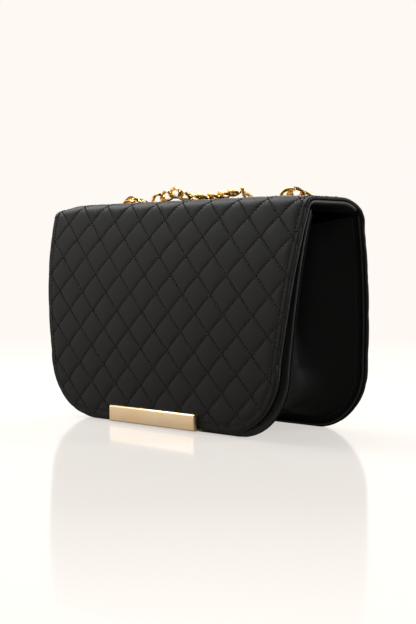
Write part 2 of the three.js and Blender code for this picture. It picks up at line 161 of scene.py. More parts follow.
camera_data = bpy.data.cameras.new("camera")
camera_data.lens = 74.83
camera_data.sensor_width = 36
camera_data.clip_start = 0.05
camera = add_to_scene("camera", camera_data)
camera.location = place(674, -652.4, 115.5)
aim(camera, place(14.3, -2, 80.8))
bpy.context.scene.camera = camera
bpy.context.scene.view_settings.view_transform = "Standard"


def set_inputs(tree, node, values):
    """Links a node's inputs to sockets or sets them to values."""
    for key, value in values.items():
        if isinstance(value, bpy.types.NodeSocket):
            tree.links.new(value, node.inputs[key])
        else:
            node.inputs[key].default_value = value


def shader_node(tree, kind, values=None, **settings):
    node = tree.nodes.new("ShaderNode" + kind)
    for key, value in settings.items():
        setattr(node, key, value)
    set_inputs(tree, node, values or {})
    return node


def first_output(tree, kind, values=None, **settings):
    """The first output of a new shader node."""
    return shader_node(tree, kind, values, **settings).outputs[0]


def remap(tree, value, start, end, low=0.0, high=1.0):
    """A value's span from start to end, spread over low to high."""
    span = {"From Min": start, "From Max": end, "To Min": low, "To Max": high}
    return first_output(tree, "MapRange", {"Value": value, **span})


def arithmetic(tree, operation, a, b=0.0):
    return first_output(tree, "Math", {0: a, 1: b}, operation=operation)


def bright_patch(tree, direction, edge, core, dim):
    """Brightness of a soft patch of the studio: dim outside its edge, and 1 at its core."""
    spot = shader_node(tree, "TexCoord").outputs["Generated"]
    facing = shader_node(tree, "VectorMath", {0: spot, 1: direction}, operation="DOT_PRODUCT")
    return remap(tree, facing.outputs["Value"], edge, core, dim)


PAPER = (0.991, 0.947, 0.896, 1)

world = bpy.data.worlds.new("studio")
world.use_nodes = True
bpy.context.scene.world = world
tree = world.node_tree
tree.nodes.clear()
# A white backdrop stands opposite the camera and a card at the left; the rest of the studio is dim.
backdrop = bright_patch(tree, (-0.66, 0.65, 0.38), 0.66, 0.86, 0.035)
side_card = bright_patch(tree, (-0.72, -0.69, 0.0), 0.7, 0.94, 0.0)
rays = shader_node(tree, "LightPath")
seen = first_output(tree, "Background", {"Color": PAPER, "Strength": 1.0})
room = arithmetic(tree, "ADD", backdrop, side_card)
felt = first_output(tree, "Background", {"Color": PAPER, "Strength": room})
mixed = first_output(tree, "MixShader", {0: rays.outputs["Is Camera Ray"], 1: felt, 2: seen})
shader_node(tree, "OutputWorld", {"Surface": mixed})


def softbox(name, location, target, size, power):
    data = bpy.data.lights.new(name, "AREA")
    data.shape = "RECTANGLE"
    data.size, data.size_y = size
    data.energy = power
    light = add_to_scene(name, data)
    light.location = location
    aim(light, target)


MIDDLE = Vector((0, 0, 0.08))
softbox("light_over", Vector((-0.75, -0.12, 1.05)), MIDDLE, (0.7, 0.9), 10.5)
softbox("light_left", Vector((-0.9, -1.0, 0.9)), MIDDLE, (0.9, 0.9), 1.4)
softbox("light_front", Vector((1.05, -1.15, 0.7)), MIDDLE, (0.3, 0.6), 4.2)
softbox("light_edge", Vector((1.05, 0.85, 0.5)), MIDDLE, (0.15, 0.8), 10)
softbox("light_back", Vector((-0.5, 1.2, 1.1)), MIDDLE, (1.6, 0.7), 7)

floor_mesh = bpy.data.meshes.new("floor")
FLOOR_RADIUS = 2.4
FLOOR_SIDES = 64
rim_turns = [2 * math.pi * i / FLOOR_SIDES for i in range(FLOOR_SIDES)]
rim_points = [(FLOOR_RADIUS * math.cos(turn), FLOOR_RADIUS * math.sin(turn), 0) for turn in rim_turns]
floor_mesh.from_pydata(rim_points, [], [tuple(range(FLOOR_SIDES))])
floor = add_to_scene("floor", floor_mesh)
paper = bpy.data.materials.new("paper")
paper.use_nodes = True
floor_mesh.materials.append(paper)
tree = paper.node_tree
tree.nodes.clear()
rays = shader_node(tree, "LightPath")
glow_strength = remap(tree, rays.outputs["Is Camera Ray"], 0.0, 1.0, 0.1, 0.8)
glow = first_output(tree, "Emission", {"Color": PAPER, "Strength": glow_strength})
card = first_output(tree, "BsdfDiffuse", {"Color": (0.36, 0.345, 0.325, 1)})
lit = first_output(tree, "AddShader", {0: glow, 1: card})
gloss = first_output(tree, "BsdfGlossy", {"Color": (1, 1, 1, 1), "Roughness": 0.1})
# The paper mirrors the purse only where it is seen at a low angle.
mirror = remap(tree, shader_node(tree, "LayerWeight").outputs["Facing"], 0.7, 0.82, 0.0, 0.26)
sheen = first_output(tree, "MixShader", {0: mirror, 1: lit, 2: gloss})
# It fades out into the backdrop away from the purse.
spot = shader_node(tree, "TexCoord").outputs["Object"]
away = shader_node(tree, "VectorMath", {0: spot}, operation="LENGTH").outputs["Value"]
clear = first_output(tree, "BsdfTransparent")
faded = first_output(tree, "MixShader", {0: remap(tree, away, 0.25, 1.1), 1: sheen, 2: clear})
shader_node(tree, "OutputMaterial", {"Surface": faded})

# ------------------------------------------------------------------ materials


def new_material(name):
    """A material with its Principled shader, and its position in the model as a texture space."""
    material = bpy.data.materials.new(name)
    material.use_nodes = True
    tree = material.node_tree
    shader = tree.nodes["Principled BSDF"]
    space = shader_node(tree, "TexCoord").outputs["Object"]
    return material, tree, shader, space


def colour_ramp(tree, factor, stops):
    node = shader_node(tree, "ValToRGB", {"Fac": factor})
    ramp = node.color_ramp
    while len(ramp.elements) < len(stops):
        ramp.elements.new(0.5)
    for element, (at, colour) in zip(ramp.elements, stops):
        element.position = at
        element.color = (*colour, 1)
    return node.outputs["Color"]


def bump(tree, height, strength, distance, normal=None):
    """A normal tilted by a height, on top of another normal."""
    values = {"Height": height, "Strength": strength, "Distance": distance}
    if normal is not None:
        values["Normal"] = normal
    return first_output(tree, "Bump", values)


def noise(tree, space, scale, detail):
    return first_output(tree, "TexNoise", {"Vector": space, "Scale": scale, "Detail": detail})


def blended(tree, share, first, second):
    """Two colours mixed; a share of 1 gives the second."""
    values = {0: share, 6: first, 7: (*second, 1)}
    return shader_node(tree, "Mix", values, data_type="RGBA").outputs[2]


def leather_material(name, dark, light, quilted, gloss, matt=0.0):
    """Fine-grained leather; on quilted leather, painted shade along the quilting lines' grooves and in the
    needle holes, which a bump also dents.

    gloss is how much light it mirrors, and matt is added to its roughness.
    """
    material, tree, shader, space = new_material(name)
    cloud = noise(tree, space, 22.0, 4.0)
    colour = colour_ramp(tree, cloud, [(0.3, dark), (0.7, light)])
    pores = first_output(tree, "TexVoronoi", {"Vector": space, "Scale": 1300.0}, feature="DISTANCE_TO_EDGE")
    normal = bump(tree, pores, 0.35, 0.00012)
    normal = bump(tree, noise(tree, space, 260.0, 3.0), 0.22, 0.0003, normal)
    if quilted:
        holes, line = quilting_pattern(tree)
        # Painted shade: a slight darkening along the quilting lines' grooves and a deep darkening in the
        # needle holes.
        colour = blended(tree, line, colour, (0.006, 0.006, 0.006))
        colour = blended(tree, holes, colour, (0.0008, 0.0008, 0.0008))
        normal = bump(tree, arithmetic(tree, "MULTIPLY", holes, -1.0), 0.9, 0.0004, normal)
    set_inputs(tree, shader, {
        "Base Color": colour, "Normal": normal, "Specular IOR Level": gloss,
        "Roughness": remap(tree, cloud, 0.0, 1.0, 0.4 + matt, 0.52 + matt),
    })
    return material


def quilting_pattern(tree):
    """How much of a needle hole and of a quilting line is at a point, from the piece's UV map: the masks for
    the painted shade.

    The map holds the two quilting coordinates, which are whole numbers on the stitch lines.
    """
    quilt = shader_node(tree, "UVMap", uv_map="quilt").outputs[0]
    parts = shader_node(tree, "SeparateXYZ", {0: quilt})
    holes = lines = None
    for across, along in ((0, 1), (1, 0)):
        near = arithmetic(tree, "PINGPONG", parts.outputs[across], 0.5)
        distance = arithmetic(tree, "MULTIPLY", near, QUILT_CELL)
        step = arithmetic(tree, "MULTIPLY", parts.outputs[along], QUILT_CELL / STITCH_PITCH)
        stepped = arithmetic(tree, "MULTIPLY", arithmetic(tree, "PINGPONG", step, 0.5), STITCH_PITCH)
        squares = [arithmetic(tree, "POWER", length, 2.0) for length in (distance, stepped)]
        reach = arithmetic(tree, "SQRT", arithmetic(tree, "ADD", *squares))
        hole = remap(tree, reach, 0.85, 0.5)
        line = remap(tree, distance, 0.5, 0.15)
        holes = hole if holes is None else arithmetic(tree, "MAXIMUM", holes, hole)
        lines = line if lines is None else arithmetic(tree, "MAXIMUM", lines, line)
    return holes, arithmetic(tree, "MULTIPLY", lines, 0.2)


def metal_material(name, low, high, roughness, wave=0.0):
    """Polished metal, a little uneven in colour and gloss; wave makes it softly buckled."""
    material, tree, shader, space = new_material(name)
    rub = noise(tree, space, 900.0, 2.0)
    normal = bump(tree, rub, 0.05, 0.0001)
    set_inputs(tree, shader, {
        "Base Color": colour_ramp(tree, noise(tree, space, 40.0, 3.0), [(0.3, low), (0.7, high)]),
        "Roughness": remap(tree, rub, 0.0, 1.0, roughness * 0.8, roughness * 1.25),
        "Normal": bump(tree, noise(tree, space, 70.0, 1.0), wave, 0.002, normal),
        "Metallic": 1.0,
    })
    return material


def cloth_material(name, dark, light, scale):
    """Woven cloth: two crossed sets of threads."""
    material, tree, shader, space = new_material(name)
    threads = {"Vector": space, "Scale": scale, "Distortion": 0.6}
    warp, weft = (shader_node(tree, "TexWave", threads, bands_direction=axis) for axis in "XZ")
    weave = arithmetic(tree, "MULTIPLY", warp.outputs["Fac"], weft.outputs["Fac"])
    set_inputs(tree, shader, {
        "Base Color": colour_ramp(tree, weave, [(0.0, dark), (0.8, light)]),
        "Normal": bump(tree, weave, 0.4, 0.0002),
        "Roughness": 0.85,
    })
    return material


QUILTED = leather_material(
    "quilted leather", (0.0050, 0.0050, 0.0048), (0.0080, 0.0079, 0.0076), quilted=True, gloss=0.21,
)
PLAIN = leather_material(
    "plain leather", (0.0090, 0.0090, 0.0087), (0.0140, 0.0138, 0.0133), quilted=False, gloss=0.42,
)
# Painted shade: a darker, less glossy and rougher copy of the leather for the gussets, which sit in shade.
SHADED_LEATHER = leather_material(
    "shaded gusset leather", (0.0040, 0.0040, 0.0038), (0.0065, 0.0064, 0.0061), quilted=False, gloss=0.14,
    matt=0.2,
)
# Black thread whose colour is lightened as a painted sheen.
THREAD = cloth_material("thread", (0.016, 0.016, 0.016), (0.034, 0.034, 0.033), 900.0)
LINING = cloth_material("lining cloth", (0.010, 0.009, 0.010), (0.030, 0.027, 0.029), 420.0)
BOARD = cloth_material("board", (0.16, 0.14, 0.11), (0.25, 0.22, 0.18), 160.0)
GOLD = metal_material("gold", (0.98, 0.62, 0.20), (1.0, 0.72, 0.30), 0.26)
PALE_GOLD = metal_material("pale gold", (0.99, 0.72, 0.44), (1.0, 0.80, 0.52), 0.34, 0.10)
STEEL = metal_material("steel", (0.50, 0.50, 0.50), (0.62, 0.62, 0.61), 0.22)

# ------------------------------------------------------------------ meshes


def unit(vectors):
    """The same vectors, one long."""
    return vectors / np.linalg.norm(vectors, axis=-1, keepdims=True)


def make_piece(name, points, faces, material, sharp=40):
    """A smooth mesh from the drawing's points, with its faces turned outwards."""
    mesh = bpy.data.meshes.new(name)
    placed = (np.asarray(points, float) - np.array([0, MIDDLE_Y, 0])) * MM
    mesh.from_pydata(placed.tolist(), [], [tuple(int(i) for i in face) for face in faces])
    shape = bmesh.new()
    shape.from_mesh(mesh)
    bmesh.ops.recalc_face_normals(shape, faces=shape.faces)
    shape.to_mesh(mesh)
    shape.free()
    mesh.shade_smooth()
    mesh.set_sharp_from_angle(angle=math.radians(sharp))
    mesh.materials.append(material)
    return add_to_scene(name, mesh)


def grid_faces(rows, columns, closed_rows=False, closed_columns=False):
    faces = []
    for r in range(rows if closed_rows else rows - 1):
        for c in range(columns if closed_columns else columns - 1):
            below, beside = (r + 1) % rows, (c + 1) % columns
            near, far = r * columns, below * columns
            faces.append((near + c, near + beside, far + beside, far + c))
    return faces


def join_parts(parts):
    """One list of points and one of faces, from several of each."""
    points, faces, start = [], [], 0
    for some_points, some_faces in parts:
        points.append(np.asarray(some_points, float))
        faces += [tuple(i + start for i in face) for face in some_faces]
        start += len(some_points)
    return np.concatenate(points), faces


def capped_tube(rings):
    """Points and faces of a tube with flat ends, whose rings are all the same size."""
    rings = np.asarray(rings)
    rows, count = rings.shape[:2]
    faces = grid_faces(rows, count, closed_columns=True)
    faces += [tuple(range(count))[::-1], tuple(range((rows - 1) * count, rows * count))]
    return rings.reshape(-1, 3), faces


def rounded_rectangle(low, high, radius, inset, step):
    """A rectangle's rounded corners as one loop, drawn in by an inset; step is in degrees."""
    reach = radius - inset
    loop = []
    for a, b, start in (
        (high[0] - radius, high[1] - radius, 0), (low[0] + radius, high[1] - radius, 90),
        (low[0] + radius, low[1] + radius, 180), (high[0] - radius, low[1] + radius, 270),
    ):
        for degrees in range(start, start + 91, step):
            turn = math.radians(degrees)
            loop.append((a + reach * math.cos(turn), b + reach * math.sin(turn)))
    return loop


def add_part(name, shape, material, body, replaced=(), sharp=50):
    """A finished piece that rides on one body and takes the place of some CAD nodes."""
    piece = make_piece(name, *shape, material, sharp=sharp)
    if replaced:
        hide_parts(*replaced)
    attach(piece, body)
    return piece


# ------------------------------------------------------------------ chain

SMOOTH = 1.0  # spacing of the chain's worked-out centreline


def between(first, second, at, start, end):
    """The point that lies between two others as a value does between start and end."""
    return first + (second - first) * (at - start) / (end - start)


def smooth_path(points):
    """A Catmull-Rom curve through the points, as points an equal distance apart."""
    points = np.asarray(points, float)
    knots = np.concatenate([[2 * points[0] - points[1]], points, [2 * points[-1] - points[-2]]])
    gaps = np.sqrt(np.linalg.norm(np.diff(knots, axis=0), axis=1))
    times = np.concatenate([[0], np.cumsum(gaps)])
    line = []
    for i in range(1, len(knots) - 2):
        p, t = knots[i - 1 : i + 3], times[i - 1 : i + 3]
        for at in np.linspace(t[1], t[2], 12, endpoint=False):
            a = [between(p[j], p[j + 1], at, t[j], t[j + 1]) for j in range(3)]
            b = [between(a[j], a[j + 1], at, t[j], t[j + 2]) for j in range(2)]
            line.append(between(b[0], b[1], at, t[1], t[2]))
    line.append(points[-1])
    return resampled(line, SMOOTH)


def resampled(line, spacing):
    """Points an equal distance apart along a polyline, its ends included."""
    line = np.asarray(line, float)
    along = np.concatenate([[0], np.cumsum(np.linalg.norm(np.diff(line, axis=0), axis=1))])
    count = max(2, int(round(along[-1] / spacing)) + 1)
    at = np.linspace(0, along[-1], count)
    return np.stack([np.interp(at, along, line[:, i]) for i in range(line.shape[1])], 1)


def back_y(z):
    return BACK_Y - (BACK_Y - BACK_TOP_Y) * (z / BACK_TOP) ** 2


def hang(z):
    """y of the chain where it hangs against the back panel."""
    return back_y(z) + CHAIN_RADIUS + 0.9


def mirrored(points):
    return [(-x, y, z) for x, y, z in points]


CROSSING_HALF = [
    (65.5, 4, 147), (59, 4, 147), (53, 4, 147.7), (49.6, 4, 150), (48.3, 4, 153.5), (48, 4, 158),
    (47.6, 4, 161.6), (45, 4, 164.6), (39.5, 4, 165.9), (31, 4, 165.2), (21, 4, 164), (12, 4, 163.7),
]
CROSSING = [
    *CROSSING_HALF,
    (2, 4, 163.8), (-8, 4, 163.9), (-17, 4, 165.4), (-26, 4, 167.6), (-35, 4, 165.8), (-43, 4, 164.6),
    *reversed(mirrored(CROSSING_HALF[:7])),
]
RISE = [
    (66.3, 4, 147), (71, 4, 147), (77, 4, 147.7), (80.4, 4, 150), (81.7, 4, 153.5), (82, 4, 158),
    (82, 4.6, 161.4), (82, 8, 163.6), (82, 13, 163.9), (82, 19.8, 162.9), (82, 26, 160.9),
]
DESCENT = [
    (82, 32.4, 158), (82, 37.6, 153), (82, 40.6, 147.4), (82, hang(138) + 0.6, 138),
    (81.6, hang(115), 115), (80.4, hang(90), 90), (78, hang(65), 65), (74.5, hang(42), 42),
]
LANDING = [
    (70, hang(26) + 0.4, 25), (65, 57.5, 13), (57, 61.5, 6.4),
    (46, 64.5, 4.8), (31, 65.4, 4.8), (12.6, 65.2, 4.8),
]
OVER_HANK = [
    (-73.6, hang(28) + 0.8, 27), (-74, 59.5, 18.5), (-73, 67, 14.6), (-67, 75.5, 13.6), (-57, 81.5, 13.4),
    (-47, 83.6, 10.5), (-38, 83.8, 6),
]
COIL_X, COIL_Y = -48.0, 100.8
COIL_HALF_RUN = 35.0
COIL_START = 17.0  # radius of the innermost turn's ends
COIL_STEP = 9.4
COIL_TURNS = 2
COIL_POINTS = 20  # along one turn
COIL_FIRST = 0.086  # where the coil begins, in turns


def coil_point(turns):
    """A point of the flat coil on the ground, from the middle of its innermost near run."""
    radius = COIL_START + COIL_STEP * turns
    share = turns % 1
    if share < 0.15 or share >= 0.85:
        run = share / 0.15 if share < 0.15 else (share - 1) / 0.15
        return COIL_X + COIL_HALF_RUN * run, COIL_Y - radius, 4.8
    if share < 0.35:
        turn = math.pi * (share - 0.15) / 0.2
        return COIL_X + COIL_HALF_RUN + radius * math.sin(turn), COIL_Y - radius * math.cos(turn), 4.8
    if share < 0.65:
        return COIL_X + COIL_HALF_RUN * (0.5 - share) / 0.15, COIL_Y + radius, 4.8
    turn = math.pi * (share - 0.65) / 0.2
    return COIL_X - COIL_HALF_RUN - radius * math.sin(turn), COIL_Y + radius * math.cos(turn), 4.8


coil = [coil_point(COIL_FIRST + i / COIL_POINTS) for i in range(COIL_TURNS * COIL_POINTS + 1)]
strap_line = smooth_path([
    *mirrored(RISE), *mirrored(DESCENT), *OVER_HANK, *coil,
    *reversed(LANDING), *reversed(DESCENT), *reversed(RISE),
])
crossing_line = smooth_path(CROSSING)


def path_length(line):
    return float(np.linalg.norm(np.diff(line, axis=0), axis=1).sum())


def steady_normals(line, first):
    """A normal at each point of a line, carried along it without spinning."""
    tangents = unit(np.gradient(line, axis=0))
    normals = [np.asarray(first, float)]
    for tangent in tangents:
        normals.append(unit(normals[-1] - tangent * np.dot(normals[-1], tangent)))
    return tangents, np.array(normals[1:])


def curb_links(line, first_normal, roll_at):
    """Points and faces of curb links threaded along a line.

    roll_at gives a link's turn about the line, in degrees, at a share of the way along it.
    """
    tangents, normals = steady_normals(line, first_normal)
    count = int(round(path_length(line) / LINK_PITCH))
    stations = np.linspace(0, len(line) - 1, count)
    around = np.linspace(0, 2 * math.pi, 22, endpoint=False)
    ends = (LINK_LENGTH - 2 * WIRE_RADIUS) / 2
    sides = (CHAIN_DIAMETER - 2 * WIRE_RADIUS) / 2
    outline = np.stack([
        ends * np.sign(np.cos(around)) * np.abs(np.cos(around)) ** 0.85,
        sides * np.sign(np.sin(around)) * np.abs(np.sin(around)) ** 0.75,
        np.zeros_like(around),
    ], 1)
    wire = np.linspace(0, 2 * math.pi, 8, endpoint=False)
    parts = []
    for i, station in enumerate(stations):
        k = min(int(round(station)), len(line) - 1)
        t, n = tangents[k], normals[k]
        b = np.cross(t, n)
        share = station / (len(line) - 1)
        twist = math.radians(LINK_TWIST) * outline[:, 0] / ends
        body = np.stack([outline[:, 0], outline[:, 1] * np.cos(twist), outline[:, 1] * np.sin(twist)], 1)
        turn = math.radians(roll_at(share) + rng.uniform(-7, 7))
        across = n * math.cos(turn) + b * math.sin(turn)
        up = np.cross(t, across)
        ahead = unit(t + across * rng.uniform(-0.05, 0.05))
        centre = line[k]
        spots = centre + body[:, :1] * ahead + body[:, 1:2] * across + body[:, 2:] * up
        run = unit(np.roll(spots, -1, axis=0) - np.roll(spots, 1, axis=0))
        outward = unit(spots - centre - np.sum((spots - centre) * run, 1)[:, None] * run)
        side = np.cross(run, outward)
        rings = (spots[:, None, :] + WIRE_RADIUS * (
            outward[:, None, :] * np.cos(wire)[None, :, None] + side[:, None, :] * np.sin(wire)[None, :, None]
        ))
        parts.append((rings.reshape(-1, 3), grid_faces(len(spots), len(wire), True, True)))
    return join_parts(parts)


strap = make_piece("strap_chain", *curb_links(strap_line, (0, 0, 1), lambda share: STRAP_ROLL), GOLD)
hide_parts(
    "chain_rise_right", "chain_rise_left", "chain_drop_right", "chain_drop_left", "chain_hank",
)
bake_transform(strap)


def crossing_roll(share):
    """The links lie nearly flat at the right and stand on edge towards the left."""
    return 14 + 66 * float(np.clip((share - 0.5) / 0.12, 0, 1))


crossing = add_part(
    "crossing_chain", curb_links(crossing_line, (0, 1, 0), crossing_roll), GOLD, "flap_top",
    ["chain_crossing"], sharp=40,
)


def tie_band():
    """A leather keeper round the hank's near runs."""
    profile = ((-31, 0.25), (-30.6, 0), (-22.4, 0), (-22, 0.25), (-22, 0.7), (-31, 0.7))
    rings = np.array([
        [(x, y, z) for y, z in rounded_rectangle((59.6, 0.15), (89.2, 9.4), 2.2, inset, 15)]
        for x, inset in profile
    ])
    return rings.reshape(-1, 3), grid_faces(len(rings), rings.shape[1], True, True)


tie = add_part("chain_tie", tie_band(), PLAIN, "bag", sharp=40)


# ------------------------------------------------------------------ the bag's curves


def face_y(z):
    rise = np.maximum(z - 30, 0) / (FRONT_TOP - 30)
    return FACE_Y + FACE_LEAN * rise**2.6


def front_y(z):
    return face_y(z) + FLAP_TO_PANEL


def bag_half_width(z):
    down = (FRONT_TOP - z) / FRONT_TOP
    return BAG_HALF_WIDTH - 5 * down - 8 * down * down


def flap_half_width(z):
    down = (HEIGHT - z) / (HEIGHT - FLAP_BOTTOM)
    return TOP_HALF_WIDTH - 12 * down - 10 * down * down


def smoothstep(low, high, value):
    t = np.clip((value - low) / (high - low), 0, 1)
    return t * t * (3 - 2 * t)


def softened(line, sigma, spacing):
    """A polyline with its corners rounded off by a Gaussian, its ends kept."""
    reach = int(4 * sigma / spacing)
    weights = np.exp(-0.5 * (np.arange(-reach, reach + 1) * spacing / sigma) ** 2)
    weights /= weights.sum()
    before = 2 * line[0] - line[reach:0:-1]
    after = 2 * line[-1] - line[-2 : -reach - 2 : -1]
    padded = np.concatenate([before, line, after])
    return np.stack([np.convolve(padded[:, i], weights, "valid") for i in range(line.shape[1])], 1)


def strip_profile():
    """The strip's outer face in the YZ plane, from the foot of the back to the flap's edge."""
    points = [(back_y(z), z) for z in np.linspace(0, BACK_TOP, 60)]
    points += [(31, 150.3), (27.5, 153.4), (23, 156.3), (17.5, 158.6), (11, HEIGHT), (-8, HEIGHT)]
    for degrees in range(0, 57, 8):
        turn = math.radians(degrees)
        drop = FOLD_RADIUS * (1 - math.cos(turn))
        points.append((FOLD_Y - FOLD_RADIUS * math.sin(turn), HEIGHT - drop))
    points += [(float(face_y(z)), z) for z in np.linspace(FRONT_TOP - 1, FLAP_BOTTOM, 60)]
    spacing = 0.4
    return resampled(softened(resampled(points, spacing), 2.2, spacing), spacing)


PROFILE = strip_profile()
PROFILE_ALONG = np.concatenate([[0], np.cumsum(np.linalg.norm(np.diff(PROFILE, axis=0), axis=1))])
on_top = np.where(PROFILE[:, 1] > HEIGHT - 2)[0]
split = on_top[np.argmin(np.abs(PROFILE[on_top, 0] - SPLIT_Y))]
PROFILE_S = PROFILE_ALONG - PROFILE_ALONG[split]
TANGENT = unit(np.gradient(PROFILE, PROFILE_S, axis=0))
BACK_END = PROFILE_S[0]
FLAP_END = PROFILE_S[-1]


def strip_at(s):
    """y, z and the outward normal of the strip's CAD face at s."""
    y = np.interp(s, PROFILE_S, PROFILE[:, 0])
    z = np.interp(s, PROFILE_S, PROFILE[:, 1])
    run_y = np.interp(s, PROFILE_S, TANGENT[:, 0])
    run_z = np.interp(s, PROFILE_S, TANGENT[:, 1])
    return y, z, run_z, -run_y


def s_on_face(z):
    side = PROFILE_S > 30
    return float(np.interp(-z, -PROFILE[side, 1], PROFILE_S[side]))


def s_on_top(y):
    side = np.abs(PROFILE_S) < 42
    return float(np.interp(-y, -PROFILE[side, 0], PROFILE_S[side]))


def droop(x, z):
    """How far the two ends of the top sink, the left one more."""
    most = np.where(x < 0, DROOP_LEFT, DROOP_RIGHT)
    return most * smoothstep(98, 134, np.abs(x)) * smoothstep(105, 152, z)


def strip_point(x, s, height):
    """A point this far above the strip's CAD face."""
    y, z, out_y, out_z = strip_at(s)
    z = z + out_z * height
    return np.stack([x, y + out_y * height, z - droop(x, z)], -1)


QUILT_ORIGIN_S = s_on_face(QUILT_ORIGIN_Z)


def quilt_coordinates(x, s):
    """Coordinates that are whole numbers on the two sets of quilting lines."""
    u = (x - QUILT_ORIGIN_X) / QUILT_X
    v = (s - QUILT_ORIGIN_S) / QUILT_S
    return (u + v) / 2, (u - v) / 2


def from_quilt(p, q):
    return QUILT_ORIGIN_X + (p + q) * QUILT_X, QUILT_ORIGIN_S + (p - q) * QUILT_S


def to_line(value):
    """Distance in millimetres from the nearest quilting line of one set."""
    return np.abs(value - np.round(value)) * QUILT_CELL


def rise_from(distance, reach=2.6):
    return 1 - np.exp(-distance / reach)


# ------------------------------------------------------------------ sheets cut to an outline

HOLE_RADIUS = 6.1  # of the holes for the eyelets
HOLE_CLEARANCE = 7.5


def strip_half_width(s):
    """Half width of the strip, before its bottom corners are rounded."""
    _, z, _, _ = strip_at(s)
    over = smoothstep(BACK_END + 140, BACK_END + 158, s)
    back = bag_half_width(np.minimum(z, FRONT_TOP))
    flap = flap_half_width(np.minimum(z, HEIGHT))
    front = smoothstep(4, 26, s)
    return back * (1 - over) + over * (TOP_HALF_WIDTH * (1 - front) + flap * front)


def rounded_side(end, start, half_width_at, radius):
    """Right-hand side of a sheet from its straight start to the middle of its rounded end."""
    direction = 1 if end > start else -1
    corner = end - direction * radius
    side = [(half_width_at(s), s) for s in np.linspace(start, corner, 90, endpoint=False)]
    half = half_width_at(corner)
    for degrees in range(0, 91, 2):
        turn = math.radians(degrees)
        side.append((half - radius * (1 - math.cos(turn)), corner + direction * radius * math.sin(turn)))
    side.append((0.0, end))
    return resampled(side, 1.25)


def sheet_outline(side):
    """The side and its mirror image as one loop; the last points run along the straight start."""
    left = side[-2::-1] * np.array([-1, 1])
    loop = np.concatenate([side, left])
    width = side[0, 0]
    cut = np.linspace(-width, width, int(2 * width / 1.5))[1:-1]
    straight = np.stack([cut, np.full(len(cut), side[0, 1])], 1)
    return loop, straight


def inward_normals(loop):
    """Unit normals pointing into a sheet, along its open loop of edge points."""
    run = unit(np.gradient(loop, axis=0))
    normals = np.stack([-run[:, 1], run[:, 0]], 1)
    middle = loop.mean(0)
    if np.sum((middle - loop[0]) * normals[0]) < 0:
        normals = -normals
    normals[0] = (-np.sign(loop[0, 0]), 0)
    normals[-1] = (-np.sign(loop[-1, 0]), 0)
    return normals


def inside(points, loop):
    """Which points lie inside a closed loop."""
    x, y = points[:, 0], points[:, 1]
    result = np.zeros(len(points), bool)
    for (x1, y1), (x2, y2) in zip(loop, np.roll(loop, -1, axis=0)):
        crosses = (y1 > y) != (y2 > y)
        if crosses.any():
            at = (x2 - x1) * (y - y1) / ((y2 - y1) if y2 != y1 else 1e-9) + x1
            result ^= crosses & (x < at)
    return result


def distance_to(points, targets):
    tree = KDTree(len(targets))
    for i, target in enumerate(targets):
        tree.insert((target[0], target[1], 0), i)
    tree.balance()
    return np.array([tree.find((p[0], p[1], 0))[2] for p in points])


def triangulated(loops, spare):
    """Triangles between the first loop and the other loops, using the spare points as well."""
    points = np.concatenate([*loops, spare]) if len(spare) else np.concatenate(loops)
    edges, start = [], 0
    for loop in loops:
        count = len(loop)
        edges += [(start + i, start + (i + 1) % count) for i in range(count)]
        start += count
    made = delaunay_2d_cdt([Vector(p) for p in points.tolist()], edges, [], 0, 1e-6)
    source = [originals[0] if originals else -1 for originals in made[3]]
    triangles = np.array([[source[i] for i in face] for face in made[2] if len(face) == 3])
    triangles = triangles[(triangles >= 0).all(1)]
    centres = points[triangles].mean(1)
    keep = inside(centres, loops[0])
    for hole in loops[1:]:
        keep &= ~inside(centres, hole)
    return points, triangles[keep]


def sheet_solid(side, surface, level, rim, depth, spare, holes=(), nick=None):
    """A closed sheet of leather: a face, a rounded rim, and a plain inner face.

    side is its right-hand outline, surface(x, s, height) its place in space, level(points) the
    height of its outer face, and depth the height of its inner face (both from the CAD face).
    Returns its points, its faces, and each point's (x, s).
    """
    loop, straight = sheet_outline(side)
    normals = inward_normals(loop)
    notch = np.zeros(len(loop)) if nick is None else nick(loop)

    def ring(inset):
        moved = loop + normals * (inset + 0.45 * notch * (1 - inset / rim))[:, None]
        return np.concatenate([moved, straight])

    edge_flat = ring(rim)
    count = len(edge_flat)
    flats, triangles = triangulated([edge_flat, *holes], spare)
    heights = level(flats)
    points = [surface(flats[:, 0], flats[:, 1], heights)]
    faces = [tuple(t) for t in triangles]
    all_flats = [flats]
    edge = heights[:count]
    round_off = np.minimum(rim, (edge - depth) * 0.45)
    previous = 0
    start = len(flats)
    for degrees, outer in ((30, True), (60, True), (90, True), (90, False), (60, False), (30, False)):
        turn = math.radians(degrees)
        flat = ring(rim * (1 - math.sin(turn)))
        drop = round_off * (1 - math.cos(turn))
        points.append(surface(flat[:, 0], flat[:, 1], edge - drop if outer else depth + drop))
        all_flats.append(flat)
        faces += ring_faces(previous, start, count)
        previous = start
        start += count
    spare_inner = spread_points(edge_flat, edge_flat, 1.3, 9.0, 2.4, holes)
    flats, triangles = triangulated([edge_flat, *holes], spare_inner)
    points.append(surface(flats[:, 0], flats[:, 1], np.full(len(flats), float(depth))))
    all_flats.append(flats)
    faces += ring_faces(previous, start, count)
    faces += [tuple(t + start) for t in triangles]
    hole_start = count
    for hole in holes:
        faces += ring_faces(hole_start, start + hole_start, len(hole))
        hole_start += len(hole)
    return np.concatenate(points), faces, np.concatenate(all_flats)


def ring_faces(first, second, count):
    """The band of faces between two loops of the same size."""
    return [(first + i, first + (i + 1) % count, second + (i + 1) % count, second + i) for i in range(count)]


